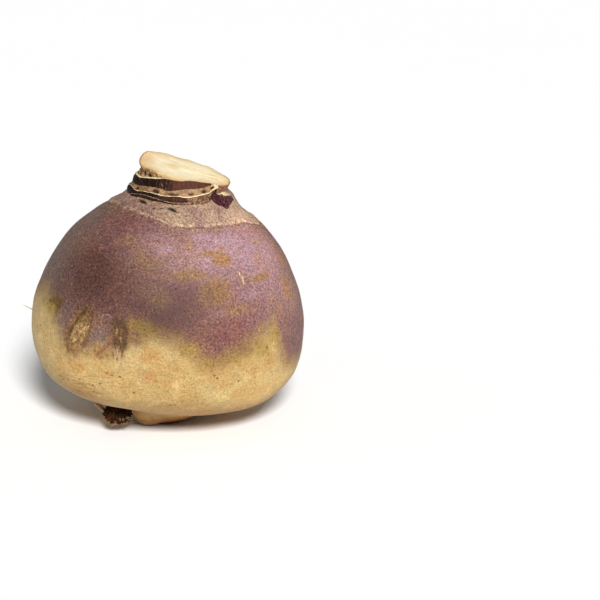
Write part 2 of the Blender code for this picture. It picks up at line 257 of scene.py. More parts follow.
class Nodes:
    """Builds a material's nodes by calls that return sockets."""

    def __init__(self, name):
        self.material = bpy.data.materials.new(name)
        self.material.use_nodes = True
        self.tree = self.material.node_tree
        self.shader = self.tree.nodes["Principled BSDF"]
        self.where = self.add("ShaderNodeTexCoord").outputs["Object"]

    def add(self, kind, **settings):
        node = self.tree.nodes.new(kind)
        for key, value in settings.items():
            setattr(node, key, value)
        return node

    def put(self, socket, value):
        if isinstance(value, bpy.types.NodeSocket):
            self.tree.links.new(value, socket)
        else:
            socket.default_value = value

    def mark(self, name):
        return self.add("ShaderNodeAttribute", attribute_name=name).outputs["Fac"]

    def math(self, op, a, b=None, c=None, clamp=False):
        node = self.add("ShaderNodeMath", operation=op, use_clamp=clamp)
        for i, v in enumerate((a, b, c)):
            if v is not None:
                self.put(node.inputs[i], v)
        return node.outputs[0]

    def vmath(self, op, a, b=None, scale=None):
        node = self.add("ShaderNodeVectorMath", operation=op)
        self.put(node.inputs[0], a)
        if b is not None:
            self.put(node.inputs[1], b)
        if scale is not None:
            self.put(node.inputs["Scale"], scale)
        return node.outputs["Value"] if op in ("LENGTH", "DISTANCE", "DOT_PRODUCT") else node.outputs[0]

    def noise(self, size, detail=2.0, roughness=0.5, where=None, distortion=0.0, colour=False):
        node = self.add("ShaderNodeTexNoise")
        self.put(node.inputs["Vector"], self.where if where is None else where)
        node.inputs["Scale"].default_value = 1.0 / size
        node.inputs["Detail"].default_value = detail
        node.inputs["Roughness"].default_value = roughness
        node.inputs["Distortion"].default_value = distortion
        return node.outputs["Color" if colour else "Fac"]

    def cells(self, size, feature="F1", randomness=1.0, where=None, out="Distance"):
        node = self.add("ShaderNodeTexVoronoi", feature=feature)
        self.put(node.inputs["Vector"], self.where if where is None else where)
        node.inputs["Scale"].default_value = 1.0 / size
        node.inputs["Randomness"].default_value = randomness
        return node.outputs[out]

    def stretch(self, x=1.0, y=1.0, z=1.0, where=None):
        node = self.add("ShaderNodeMapping")
        self.put(node.inputs["Vector"], self.where if where is None else where)
        node.inputs["Scale"].default_value = (x, y, z)
        return node.outputs[0]

    def moved(self, x, y, z):
        node = self.add("ShaderNodeMapping")
        self.put(node.inputs["Vector"], self.where)
        node.inputs["Location"].default_value = (x, y, z)
        return node.outputs[0]

    def fit(self, value, low, high, to_low=0.0, to_high=1.0, smooth=True):
        node = self.add("ShaderNodeMapRange", interpolation_type="SMOOTHSTEP" if smooth else "LINEAR", clamp=False)
        self.put(node.inputs["Value"], value)
        for key, v in (("From Min", low), ("From Max", high), ("To Min", to_low), ("To Max", to_high)):
            self.put(node.inputs[key], v)
        return node.outputs["Result"]

    def mix(self, share, a, b, blend="MIX"):
        node = self.add("ShaderNodeMix", data_type="RGBA", blend_type=blend, clamp_factor=True)
        self.put(node.inputs[0], share)
        self.put(node.inputs[6], a)
        self.put(node.inputs[7], b)
        return node.outputs[2]

    def spot(self, at, wide, tall, turned=0.0, soft=0.3, torn=None, share=1.0):
        """How much a place is in an oval patch on the surface, 0 to share. at is its middle with the outward, right
        and up directions there; sizes in mm; soft is how gently it ends and torn a value that makes its edge ragged."""
        middle, normal, right, up = at
        c, s = math.cos(math.radians(turned)), math.sin(math.radians(turned))
        axes = Matrix((right * c + up * s, up * c - right * s, normal)).transposed()
        node = self.add("ShaderNodeMapping", vector_type="TEXTURE")
        self.put(node.inputs["Vector"], self.where)
        node.inputs["Location"].default_value = middle
        node.inputs["Rotation"].default_value = axes.to_euler()
        node.inputs["Scale"].default_value = (2 * wide * MM, 2 * tall * MM, 0.018)
        ball = self.add("ShaderNodeTexGradient", gradient_type="SPHERICAL")       # 1 in the middle, a half on the edge
        self.put(ball.inputs["Vector"], node.outputs[0])
        near = ball.outputs["Fac"]
        if torn is not None:
            near = self.math("MULTIPLY", near, torn)
        return self.fit(near, 0.5 - soft / 2, 0.5 + soft / 2, 0.0, share)

    def most(self, values):
        """The largest of several values."""
        result = values[0]
        for v in values[1:]:
            result = self.math("MAXIMUM", result, v)
        return result

    def gain(self, colour, value):
        """colour with its brightness multiplied by value."""
        node = self.add("ShaderNodeHueSaturation")
        self.put(node.inputs["Color"], colour)
        self.put(node.inputs["Value"], value)
        return node.outputs[0]

    def finish(self, colour, roughness, height, depth, specular=0.35, sheen=None, coat=None, subsurface=None):
        self.put(self.shader.inputs["Base Color"], colour)
        self.put(self.shader.inputs["Roughness"], roughness)
        self.shader.inputs["Metallic"].default_value = 0.0
        self.shader.inputs["Specular IOR Level"].default_value = specular
        if sheen:
            self.shader.inputs["Sheen Weight"].default_value = sheen
        if coat:
            self.shader.inputs["Coat Weight"].default_value = coat[0]
            self.shader.inputs["Coat Roughness"].default_value = coat[1]
        if subsurface:
            self.shader.inputs["Subsurface Weight"].default_value = subsurface[0]
            self.shader.inputs["Subsurface Radius"].default_value = subsurface[1]
            self.shader.inputs["Subsurface Scale"].default_value = subsurface[2]
        if height is not None:
            bump = self.add("ShaderNodeBump")
            bump.inputs["Strength"].default_value = 1.0
            bump.inputs["Distance"].default_value = depth
            self.put(bump.inputs["Height"], height)
            self.tree.links.new(bump.outputs["Normal"], self.shader.inputs["Normal"])
        return self.material


# ================================================================= where things are on the root
MIDDLE = np.array([-0.0001, -0.0005])          # directions round the root are taken about this point


def bearing(p):
    return np.degrees(np.arctan2(p[..., 1] - MIDDLE[1], p[..., 0] - MIDDLE[0])) % 360


# Height in mm of the edge between the purple top and the golden bottom, at directions round the root.
COLOUR_EDGE = (
    (0, 41), (15, 47), (30, 51), (48, 45), (65, 40), (85, 46), (105, 54), (125, 50), (145, 44), (165, 51), (180, 60),
    (192, 65), (202, 67.5), (210, 65), (216.7, 58.4), (223.7, 50.2), (228.3, 45.5), (240, 47.5), (244.4, 46.9),
    (252, 47.6), (255, 53.0), (259.5, 52.4), (263.5, 56.8), (267, 56.5), (272, 55.0), (276.5, 52.5), (281, 49.2), (287.8, 42.6),
    (293.5, 40.8), (299, 43.4), (306.6, 47.4), (314.6, 50.2), (320, 52.6), (323.3, 54.2), (326.5, 46), (329.2, 38.9), (336.3, 33.6),
    (347.3, 32.0),
)
# The line where the corky collar of the shoulders ends: height in mm.
COLLAR_LINE = (
    (0, 92.4), (30, 93.6), (60, 96.0), (95, 99.2), (135, 101.2), (169, 102.4), (190, 103.4), (205.3, 103.7), (224.7, 103.7),
    (240.8, 102.9), (251.1, 102.2), (263.9, 101.4), (270.1, 100.2), (275.7, 99.0), (281.9, 98.8), (290.7, 98.1), (306.4, 97.7),
    (324.7, 97.1), (342.6, 95.7),
)
# Ochre patches on the purple: direction, height in mm, half width and half height in mm, strength.
OCHRE = (
    (247.8, 93.2, 5.0, 3.0, 0.55), (303.4, 85.6, 4.0, 3.6, 1.0), (283.6, 80.4, 7.5, 2.6, 1.0), (281.6, 80.9, 3.0, 2.0, 0.7),
    (296.1, 73.2, 6.6, 6.0, 1.0), (297.7, 88.4, 6.2, 1.6, 0.75), (306.5, 90.0, 4.0, 1.5, 0.5), (335.4, 89.4, 4.0, 1.4, 0.5), (287.0, 92.6, 1.6, 3.6, 0.6),
    (323.0, 75.6, 7.0, 1.5, 0.95), (331.0, 79.0, 4.0, 1.2, 0.5), (304.8, 64.5, 8.5, 2.2, 0.7), (263.6, 85.9, 8.0, 4.2, 0.6), (257.3, 88.4, 5.0, 3.0, 0.4),
    (269.5, 71.0, 5.0, 5.4, 0.62), (276.0, 88.5, 4.5, 2.2, 0.45), (352.0, 77.4, 6.0, 3.2, 0.6), (342.0, 66.0, 7.0, 8.0, 0.6), (330.0, 60.5, 2.6, 8.0, 0.5), (326.0, 84.0, 5.0, 1.2, 0.4),
    (296.0, 96.2, 5.0, 1.4, 0.5), (312.0, 96.5, 6.0, 1.3, 0.45), (20.0, 82.0, 8.0, 3.6, 0.8), (52.0, 71.0, 5.0, 5.5, 0.8), (88.0, 84.0, 9.0, 2.8, 0.9),
    (118.0, 75.0, 5.0, 6.0, 0.75), (150.0, 88.0, 6.5, 2.6, 0.7), (172.0, 74.0, 4.0, 5.0, 0.6), (70.0, 88.0, 5.0, 2.0, 0.7), (5.0, 92.0, 6.0, 2.0, 0.6),
)
# Olive places where the purple thins out to the gold, and orange places on the gold: the same five numbers.
OLIVE = (
    (263.1, 57.6, 5.0, 5.0, 0.9), (258.4, 60.2, 4.4, 3.8, 1.0), (282.2, 49.5, 6.5, 4.0, 0.8), (290.6, 43.5, 8.0, 3.2, 0.62),
    (304.0, 45.0, 9.0, 4.2, 0.62), (259.0, 54.5, 6.0, 3.0, 0.55), (315.4, 46.0, 5.0, 4.6, 0.8), (323.7, 50.8, 4.0, 5.0, 0.7), (242.2, 49.0, 5.0, 2.4, 0.5),
    (205.0, 62.0, 5.0, 3.0, 0.6), (30.0, 49.0, 8.0, 4.0, 0.8), (95.0, 50.0, 9.0, 4.0, 0.8), (150.0, 46.0, 8.0, 4.0, 0.8),
)
ORANGE = (
    (232.6, 38.3, 5.5, 3.0, 0.85), (227.4, 41.2, 4.0, 2.4, 0.6), (266.1, 46.4, 5.5, 5.0, 0.85), (264.5, 38.0, 6.0, 4.0, 0.7),
    (247.2, 37.0, 6.0, 3.0, 0.5), (296.5, 31.5, 6.0, 2.2, 0.55), (321.7, 39.1, 4.0, 4.4, 0.6), (312.1, 35.6, 5.0, 2.6, 0.4),
    (275.0, 42.0, 5.0, 3.0, 0.5), (20.0, 36.0, 8.0, 4.0, 0.7), (80.0, 34.0, 7.0, 5.0, 0.7), (130.0, 38.0, 6.0, 5.0, 0.7),
    (172.0, 40.0, 6.0, 5.0, 0.6), (226.0, 24.0, 11.0, 5.0, 0.6), (262.0, 22.0, 10.0, 5.0, 0.4),
)
# Darker and paler places, partly the skin's own tone and partly painted light: painted shade over the left side,
# painted light on the right side and the right of the collar, and in the broad last row painted light over the back,
# which lies in shade: direction, height in mm, half width and half height in mm, brightness factor.
TONE_AND_PAINTED_LIGHT = (
    (232, 79, 17, 13, 0.42), (238, 70, 10, 8, 0.74), (271, 62, 13, 8, 0.52), (281, 71, 12, 8, 0.60), (258, 66, 8, 8, 0.80), (262, 80, 13, 12, 0.74),
    (240, 98, 18, 6, 0.86), (306, 91, 24, 9, 1.20), (335, 74, 18, 20, 1.30), (213, 66, 8, 7, 0.82), (225, 104, 22, 5, 0.89), (255, 106, 14, 3.5, 0.82),
    (272, 101, 14, 5, 1.0), (347, 98, 14, 6, 1.70), (296, 53, 12, 7, 0.84), (225, 24, 12, 6, 0.84), (266, 40, 8, 5, 0.9), (308, 26, 14, 7, 1.04),
    (235, 86, 8, 5, 0.84), (290, 84, 9, 4, 1.08), (318, 66, 9, 5, 0.95), (268, 92, 9, 5, 1.16), (345, 88, 14, 8, 1.30), (345, 62, 10, 9, 1.16),
    (192, 46, 16, 16, 1.28), (225, 38, 10, 8, 1.12), (318, 20, 10, 6, 1.3), (285, 104, 14, 4, 0.88), (240, 30, 14, 8, 1.12), (335, 28, 20, 9, 1.34), (337, 80, 8, 6, 1.10), (325, 87, 5, 4, 0.94), (295, 46, 6, 4, 0.92), (258.5, 61, 4, 4, 1.22),
    (120, 80, 24, 14, 0.7), (30, 72, 18, 12, 0.8), (75, 92, 20, 8, 1.2), (160, 60, 14, 10, 0.85), (90, 66, 10, 6, 0.85), (50, 86, 9, 5, 0.9), (95, 58, 75, 80, 1.42),
)
# Browner places on the purple: the same, with a strength.
BROWN = (
    (262, 82, 15, 13, 0.8), (266, 70, 9, 7, 0.7), (244, 60, 12, 6, 0.5), (354, 76, 9, 14, 0.9), (345, 90, 8, 7, 0.7), (346, 66, 8, 8, 0.8), (337, 80, 7, 5, 0.6), (330, 58, 6, 9, 0.5),
    (285, 90, 10, 4, 0.5), (20, 84, 12, 8, 0.7), (100, 70, 14, 8, 0.6), (150, 82, 14, 10, 0.7), (60, 60, 12, 7, 0.5),
)
# Lilac places, partly the skin's own hue and partly painted sheen where the right side catches the light, in the same
# way.
LILAC_AND_PAINTED_SHEEN = (
    (297, 95, 7, 4, 1.0), (274, 90.5, 6.5, 3.6, 0.85), (307, 92.5, 9, 3.6, 0.95), (300, 80, 5, 3, 0.6), (315, 70, 8, 4, 0.7), (287, 86.5, 4, 2.2, 0.6), (296, 64, 4, 3, 0.35),
    (322, 84, 7, 3, 0.7), (250, 88, 6, 2, 0.4), (262, 95, 8, 2.5, 0.5), (95, 90, 9, 4, 0.8), (60, 82, 7, 3, 0.6), (140, 78, 8, 4, 0.6), (20, 90, 8, 3, 0.6),
)
# Plum-coloured places, in the same way.
PLUM = (
    (271, 63, 14, 9, 1.0), (282, 72, 12, 9, 1.0), (262, 60, 10, 7, 0.8), (300, 56, 14, 9, 0.8), (232, 80, 16, 12, 0.75), (246, 74, 10, 10, 0.7), (240, 100, 14, 5, 0.5),
    (120, 80, 24, 14, 0.8), (30, 70, 18, 10, 0.8), (75, 64, 14, 9, 0.7), (160, 70, 14, 10, 0.6),
)
# A small hole in the skin by the side root: direction and height in mm.
HOLE_AT = (218.0, 13.2)
# Corky eyes: kind, direction, height in mm, half width and half height in mm, turn in the surface, depth in mm.
EYES = (
    ("dot", 215.0, 64.1, 4.4, 3.2, 0.0, 0.35),
    ("long", 232.0, 55.2, 4.6, 10.0, -25.0, 0.85),
    ("short", 251.4, 55.3, 3.3, 6.4, 4.0, 0.45),
    ("long", 47.0, 58.0, 4.0, 8.6, 22.0, 0.8),
    ("short", 63.0, 52.0, 3.0, 5.6, -8.0, 0.45),
    ("dot", 34.0, 66.0, 3.0, 3.0, 0.0, 0.35),
)
# The rim of the knife cut, about the crown's middle: direction, radius in mm, and how far it stands over the knife's
# plane in mm.
CROWN_RIM = (
    (0, 20.6, -0.4), (12, 20.2, 0.0), (25, 19.8, -0.1), (35, 19.5, -0.4), (47, 19.1, -0.2), (58, 19.0, 0.1), (67, 18.8, -0.3),
    (76, 18.8, -0.3), (86, 19.0, 0.1), (98, 19.3, -0.2), (104, 19.9, -0.2), (113, 20.8, 0.2), (120, 21.3, 0.5), (130, 21.5, 0.6),
    (145, 21.4, 1.2), (154, 21.2, 0.8), (164, 21.0, 0.1), (173, 20.8, -0.5), (184, 20.7, -0.7), (195, 20.6, -1.1), (207, 20.7, -0.8),
    (216, 20.4, -0.1), (222, 20.3, 0.2), (231, 20.4, 0.3), (240, 20.6, -0.2), (249, 20.8, -0.3), (256, 20.7, -0.5), (263, 20.5, -0.4),
    (270, 20.0, 0.1), (275, 19.5, 0.5), (283, 19.0, 0.9), (290, 18.7, 0.7), (304, 18.7, 0.6), (313, 19.0, 0.5), (325, 19.8, 0.1),
    (338, 20.3, -0.2), (350, 20.5, -0.5),
)


def on_root(direction, height):
    """Point, outward normal, rightward and upward directions of the plain skin at a direction and a height in mm."""
    share = float(share_of(height * MM))
    turn = math.radians(direction)
    for _ in range(6):          # the sections drift sideways, so search for the turn with that bearing
        p = place(np.array(share), np.array(turn))
        turn += math.radians(float(round_gap(direction, bearing(p))))
    p = place(np.array(share), np.array(turn))
    along = place(np.array(share + 0.004), np.array(turn)) - place(np.array(share - 0.004), np.array(turn))
    around = place(np.array(share), np.array(turn + 0.01)) - place(np.array(share), np.array(turn - 0.01))
    n = np.cross(around, along)
    n /= np.linalg.norm(n)
    up = np.array([0.0, 0.0, 1.0]) - n * n[2]
    up /= np.linalg.norm(up)
    return p, n, np.cross(up, n), up


# ================================================================= the root
AROUND = 392
BODY_ROWS, NECK_ROWS, DISC_ROWS, FOOT_ROWS = 176, 30, 24, 8


def directions():
    """Directions round the root, closer together where the eyes are."""
    t = np.linspace(0, 2 * math.pi, 7201)
    d = np.degrees(t)
    dense = 1.0 + 0.5 * step(d, 202, 212) * step(-d, -262, -252)
    run = np.concatenate([[0], np.cumsum((dense[1:] + dense[:-1]) / 2)])
    return np.interp(np.arange(AROUND) / AROUND * run[-1], run, t)


def body_shares():
    s = np.linspace(2 / 22, 18 / 22, 4001)
    p = np.stack([through(STEPS, OUTLINE[:, 1], s) * HALF, through(STEPS, OUTLINE[:, 0], s)], -1)
    z = p[:, 1]
    dense = 1.0 + 1.5 * step(z, 0.088, 0.100) + 0.7 * step(-z, -0.012, -0.006)
    run = np.concatenate([[0], np.cumsum(np.linalg.norm(np.diff(p, axis=0), axis=1) * (dense[1:] + dense[:-1]) / 2)])
    return np.interp(np.linspace(0, run[-1], BODY_ROWS), run, s)


def grid_normals(p):
    """Normals of a grid of points that closes round its second index."""
    along = np.gradient(p, axis=0)
    around = np.roll(p, -1, axis=1) - np.roll(p, 1, axis=1)
    n = np.cross(around, along)
    return n / np.maximum(np.linalg.norm(n, axis=-1, keepdims=True), 1e-12)


def build_root(materials):
    turn = directions()
    rows = [place(s, turn) for s in body_shares()]
    body_count = len(rows)
    # the neck, up to the knife cut
    top = np.full(AROUND, CROWN_HEIGHT)
    for _ in range(12):
        p = place(share_of(top), turn)
        top = top + crown_plane(p[:, 0], p[:, 1]) - p[:, 2]
    ragged = 0.00012 * rough(place(share_of(top), turn), 0.004, 2, shift=3.1)
    for k in range(1, NECK_ROWS + 1):
        w = k / NECK_ROWS
        rows.append(place(share_of(0.1096 + (top - 0.1096) * w), turn))
    grid = np.array(rows)
    normal = grid_normals(grid)
    z = grid[..., 2] * 1000
    deg = bearing(grid)
    neck_deg = np.degrees(np.arctan2(grid[..., 1] - SHIFT[1], grid[..., 0] - (NECK_DRIFT + SHIFT[0]))) % 360
    on_neck = step(z, 108.0, 110.0)

    # ---- height over the plain skin, in mm
    lift = np.zeros(z.shape)
    body = step(z, 1.5, 9.0) * step(-z, -109.0, -104.0)
    lift += body * (0.42 * rough(grid, 0.034) + 0.20 * rough(grid, 0.015, shift=5.0) + 0.07 * rough(grid, 0.006, 2, shift=9.0))
    # faint level creases, as the root thickened
    level = grid * np.array([0.35, 0.35, 2.6])
    lift += body * 0.07 * rough(level, 0.011, 2, shift=2.0) * (0.5 + 0.5 * step(-z, -60, -30))
    # the front of the shoulders is fuller under the leaf bases
    front = round_through(((0, 0), (90, 0), (180, 0), (205, 0.5), (231, 0.9), (260, 0.7), (275, 0.2), (292, 0)), deg)
    lift += front * bell(z - 106.8, 2.2)

    # the corky collar: raised over the line, with a small ledge along it
    line = round_through(COLLAR_LINE, deg) + 0.55 * rough(grid, 0.006, 2, shift=12.0) + 0.25 * rough(grid, 0.0022, 1, shift=31.0)
    over = z - line
    collar = step(over, -0.35, 0.45) * step(-z, -110, -108)
    lift += collar * 0.22 * step(-over, -9.0, 0.5)
    lift += 0.22 * bell(over - 0.7, 0.6) * step(rough(grid, 0.008, 1, shift=7.0), -0.35, 0.25)
    lift -= 0.26 * bell(over + 0.25, 0.42) * (0.45 + 0.55 * step(rough(grid, 0.009, 1, shift=15.0), -0.3, 0.3))
    # weaker leaf scar lines above it
    scars = np.zeros(z.shape)
    for offset, first, wide, strength in ((3.2, 285, 42, 0.6), (5.6, 255, 30, 0.7), (2.4, 15, 45, 0.6), (4.4, 80, 40, 0.7), (3.0, 150, 40, 0.6), (4.6, 212, 26, 0.5)):
        lies = over - offset - 0.5 * rough(grid, 0.007, 2, shift=offset)
        scars = np.maximum(scars, strength * bell(lies, 0.38) * bell(round_gap(deg, first), wide * 0.6))
    lift -= 0.35 * scars
    # streaks that run up the shoulders to the neck
    streak = np.stack([np.cos(np.radians(deg)) * 0.030, np.sin(np.radians(deg)) * 0.030, z * MM * 0.18], -1)
    lift += 0.10 * collar * rough(streak, 0.0011, 2, shift=21.0)
    lift += 0.16 * collar * rough(grid, 0.0026, 2, shift=25.0)

    # slits where old leaves tore off, sunk in; their mark paints them near black, as painted shade
    slit_shade = np.zeros(z.shape)
    for (d0, z0), (d1, z1), wide, deep in (
        ((235.6, 106.7), (251.0, 105.9), 0.85, 1.3), ((273.4, 105.7), (283.3, 104.1), 0.80, 1.2),
        ((266.0, 105.2), (270.0, 105.0), 0.32, 0.4), ((258.0, 104.9), (262.0, 104.7), 0.28, 0.35),
        ((20.0, 103.6), (33.0, 104.4), 0.45, 0.8), ((98.0, 105.2), (110.0, 105.0), 0.45, 0.8), ((150.0, 105.8), (158.0, 106.2), 0.40, 0.7),
    ):
        a, b = on_root(d0, z0)[0], on_root(d1, z1)[0]
        run = b - a
        t = np.clip(((grid - a) @ run) / (run @ run), 0, 1)
        away = np.linalg.norm(grid - (a + t[..., None] * run), axis=-1) * 1000
        m = np.exp(-((away / (wide * (0.55 + 0.45 * np.sin(math.pi * np.clip(t, 0.02, 0.98))))) ** 2)) * (0.3 + 0.7 * np.sin(math.pi * np.clip(t, 0.05, 0.95)))
        slit_shade = np.maximum(slit_shade, m)
        lift -= deep * m
        lift += 0.25 * np.exp(-(((away - 1.0) / 0.5) ** 2))

    # corky eyes
    cork = np.zeros(z.shape)
    rim = np.zeros(z.shape)
    inside = np.zeros(z.shape)
    for kind, d0, z0, wide, tall, turned, deep in EYES:
        p0, n0, right, up = on_root(d0, z0)
        rel = grid - p0
        near = (np.linalg.norm(rel, axis=-1) < 0.024) & ((normal @ n0) > 0.3)
        a = (rel @ right) * 1000
        b = (rel @ up) * 1000
        c, s = math.cos(math.radians(turned)), math.sin(math.radians(turned))
        across, along = a * c + b * s, -a * s + b * c
        wob = 1.0 + 0.16 * rough(grid, 0.0042, 2, shift=d0)
        q = np.sqrt((across / wide) ** 2 + (along / tall) ** 2) / wob
        q = np.where(near, q, 9.0)
        scale = min(wide, tall)
        inner = 1.0 - step(q, 0.70, 1.05)
        lift += inner * deep * (-0.35 + 0.40 * rough(grid, 0.0019, 2, shift=41.0) + 0.35 * rough(grid, 0.0042, 1, shift=44.0))
        if kind == "long":          # a groove down one side, and a full lip outside it
            side = math.copysign(1.0, -turned)
            groove = np.exp(-(((q - 1.0) * scale / 0.7) ** 2)) * step(-across * side / wide, 0.15, 0.7) * near
            lift -= 0.95 * deep * groove
            lift += 0.40 * np.exp(-(((q - 1.0) * scale - 1.6) / 1.1) ** 2) * step(-across * side / wide, 0.0, 0.9) * near
            rim = np.maximum(rim, groove)
        if kind == "short":         # upright strokes
            stroke = np.stack([across * MM, np.zeros_like(across), along * 0.22 * MM], -1)
            lift += inner * 0.34 * rough(stroke, 0.0013, 2, shift=47.0)
        pucker = np.exp(-(((q - 1.0) * scale / 2.6) ** 2)) * near
        lift += 0.12 * pucker * np.sin((q * scale) * 2.6 + 1.5 * rough(grid, 0.006, shift=4.0)) * step(q, 1.05, 1.3)
        cork = np.maximum(cork, inner)
        inside = np.maximum(inside, pucker * (1 - inner))

    # the ridge that curves down from the short eye
    tail = np.zeros(z.shape)
    p0, n0, right, up = on_root(251.4, 55.3)
    ridge = [p0 + (right * a + up * b) * MM for a, b in ((-3.5, -1.8), (-4.6, -4.2), (-6.6, -6.6), (-9.8, -8.6))]
    for a, b in zip(ridge[:-1], ridge[1:]):
        run = b - a
        t = np.clip(((grid - a) @ run) / (run @ run), 0, 1)
        away = np.linalg.norm(grid - (a + t[..., None] * run), axis=-1) * 1000
        tail = np.maximum(tail, np.exp(-((away / 0.9) ** 2)))
    lift += 0.35 * tail

    # the pale scratch
    scratch = np.zeros(z.shape)
    for (d0, z0), (d1, z1) in (((310.6, 80.0), (311.8, 77.6)), ((311.8, 77.6), (312.1, 74.3)), ((60, 76), (66, 73)), ((128, 66), (130, 61))):
        a, b = on_root(d0, z0)[0], on_root(d1, z1)[0]
        run = b - a
        t = np.clip(((grid - a) @ run) / (run @ run), 0, 1)
        away = np.linalg.norm(grid - (a + t[..., None] * run), axis=-1) * 1000
        scratch = np.maximum(scratch, np.exp(-((away / 0.55) ** 2)))
    lift -= 0.18 * scratch

    # the taproot: flat-cut, with lumps and creases above the cut
    tap = step(-z, -8.0, -1.0)
    lift += tap * step(z, 0.2, 1.6) * (0.45 * rough(grid, 0.0075, 2, shift=60.0) + 0.18 * rough(grid, 0.0025, 2, shift=61.0))

    # the root swells towards its side root
    lift += 3.4 * np.exp(-((round_gap(deg, 230.0) / 25.0) ** 2)) * step(z, 1.2, 4.0) * step(-z, -12.5, -7.5)

    # the neck: corky side with holes on the left
    below = crown_plane(grid[..., 0], grid[..., 1]) * 1000 - z
    rib = np.stack([np.cos(np.radians(neck_deg)) * 0.020, np.sin(np.radians(neck_deg)) * 0.020, z * MM * 0.25], -1)
    lift += on_neck * (0.22 * rough(rib, 0.0022, 2, shift=70.0) + 0.14 * rough(grid, 0.0016, 2, shift=72.0)) * step(below, 0.3, 1.2)
    hole = np.zeros(z.shape)
    for d0, over_edge, wide, tall, deep in (
        (209.0, 3.3, 1.5, 0.95, 1.7), (222.5, 3.4, 1.5, 0.95, 1.6), (193.0, 5.2, 1.3, 1.0, 1.2),
        (100.0, 3.2, 1.6, 1.0, 1.3), (133.0, 3.8, 1.3, 1.0, 1.2), (166.0, 6.0, 1.5, 1.3, 1.3), (60.0, 2.2, 1.3, 0.8, 1.0),
    ):
        across = np.radians(round_gap(neck_deg, d0)) * 20.3
        m = np.exp(-((across / wide) ** 2) - ((below - over_edge) / tall) ** 2) * (z > 110.5)
        lift -= deep * m
        hole = np.maximum(hole, m)
    # the side goes in under the rim of the cut, most on the left, and comes out again lower down
    under = round_through(((0, -0.3), (25, 0.2), (60, 0.5), (120, 0.7), (165, 1.2), (200, 1.1), (225, 0.5), (250, 0.4), (300, 0.3), (335, -0.2)), neck_deg)
    lift -= under * step(below, 0.5, 1.7) * step(-below, -5.5, -3.0) * on_neck

    moved = grid + normal * (lift * MM)[..., None]
    # the cut isn't round: spread the top of the neck out to the rim
    rim_deg = [r[0] for r in CROWN_RIM]
    middle = np.array([CROWN_DRIFT, 0.0, 0.0]) + SHIFT
    edge = moved[-1]
    edge_deg = np.degrees(np.arctan2(edge[:, 1] - middle[1], edge[:, 0] - middle[0])) % 360
    radius = np.hypot(edge[:, 0] - middle[0], edge[:, 1] - middle[1])
    wanted = round_through([(r[0], r[1]) for r in CROWN_RIM], edge_deg) * MM + 0.00008 * rough(edge, 0.003, 2, shift=3.7)
    rise = round_through([(r[0], r[2]) for r in CROWN_RIM], edge_deg) * MM + ragged
    spread = ((wanted - radius)[None, :] * step(moved[-NECK_ROWS - 1:, :, 2], 0.1096, 0.1135))[..., None]
    outward = np.stack([np.cos(np.radians(edge_deg)), np.sin(np.radians(edge_deg)), np.zeros(AROUND)], -1)
    moved[-NECK_ROWS - 1:] += spread * outward[None, :, :]
    share = (np.arange(NECK_ROWS + 1) / NECK_ROWS) ** 2
    blunt = 0.00022 * step(-edge_deg, -260, -215) + 0.0001
    moved[-NECK_ROWS - 1:, :, 2] += share[:, None] * (rise - blunt)[None, :]
    moved[-1, :, 2] = crown_plane(moved[-1, :, 0], moved[-1, :, 1]) + rise - blunt
    # the foot stays flat
    moved[..., 2] = np.maximum(moved[..., 2], 0.0)
    moved[0, :, 2] = 0.0

    # ---- marks for the materials
    steep = (round_through(COLOUR_EDGE, (deg + 0.6) % 360) - round_through(COLOUR_EDGE, (deg - 0.6) % 360)) / (HALF * 1000 * math.radians(1.2))
    purple = (z - round_through(COLOUR_EDGE, deg)) / np.sqrt(1.0 + steep ** 2)

    def patches(table, mild=0.7):
        found = np.zeros(z.shape)
        for d0, z0, wide, tall, strength in table:
            p0, n0, right, up = on_root(d0, z0)
            rel = grid - p0
            q = ((rel @ right) * 1000 / wide) ** 2 + ((rel @ up) * 1000 / tall) ** 2
            found = np.maximum(found, strength * np.exp(-mild * q) * ((normal @ n0) > 0.1))
        return found

    ochre = patches(OCHRE)
    # tone: brightness factors from the table of darker and paler places, the skin's own tone together with painted
    # shade and painted light
    total = np.zeros(z.shape)
    for d0, z0, wide, tall, factor in TONE_AND_PAINTED_LIGHT:
        p0, n0, right, up = on_root(d0, z0)
        rel = grid - p0
        q = ((rel @ right) * 1000 / wide) ** 2 + ((rel @ up) * 1000 / tall) ** 2
        total += math.log(factor) * np.exp(-0.7 * q) * step(normal @ n0, -0.1, 0.4)
    tone = np.exp(total)
    # greyer skin at the top of the left edge, in patches on the left and on the back: partly the skin's own colour,
    # partly painted sheen along the left edge
    grey_and_painted_sheen = np.clip(
        0.9 * bell(round_gap(deg, 192), 18) * step(z, 66, 76)
        + 0.8 * bell(round_gap(deg, 213), 12) * bell(z - 60, 9)
        + 0.7 * bell(round_gap(deg, 243), 7) * bell(z - 52, 6)
        + 0.4 * bell(round_gap(deg, 60), 20) * step(z, 66, 76), 0, 1)
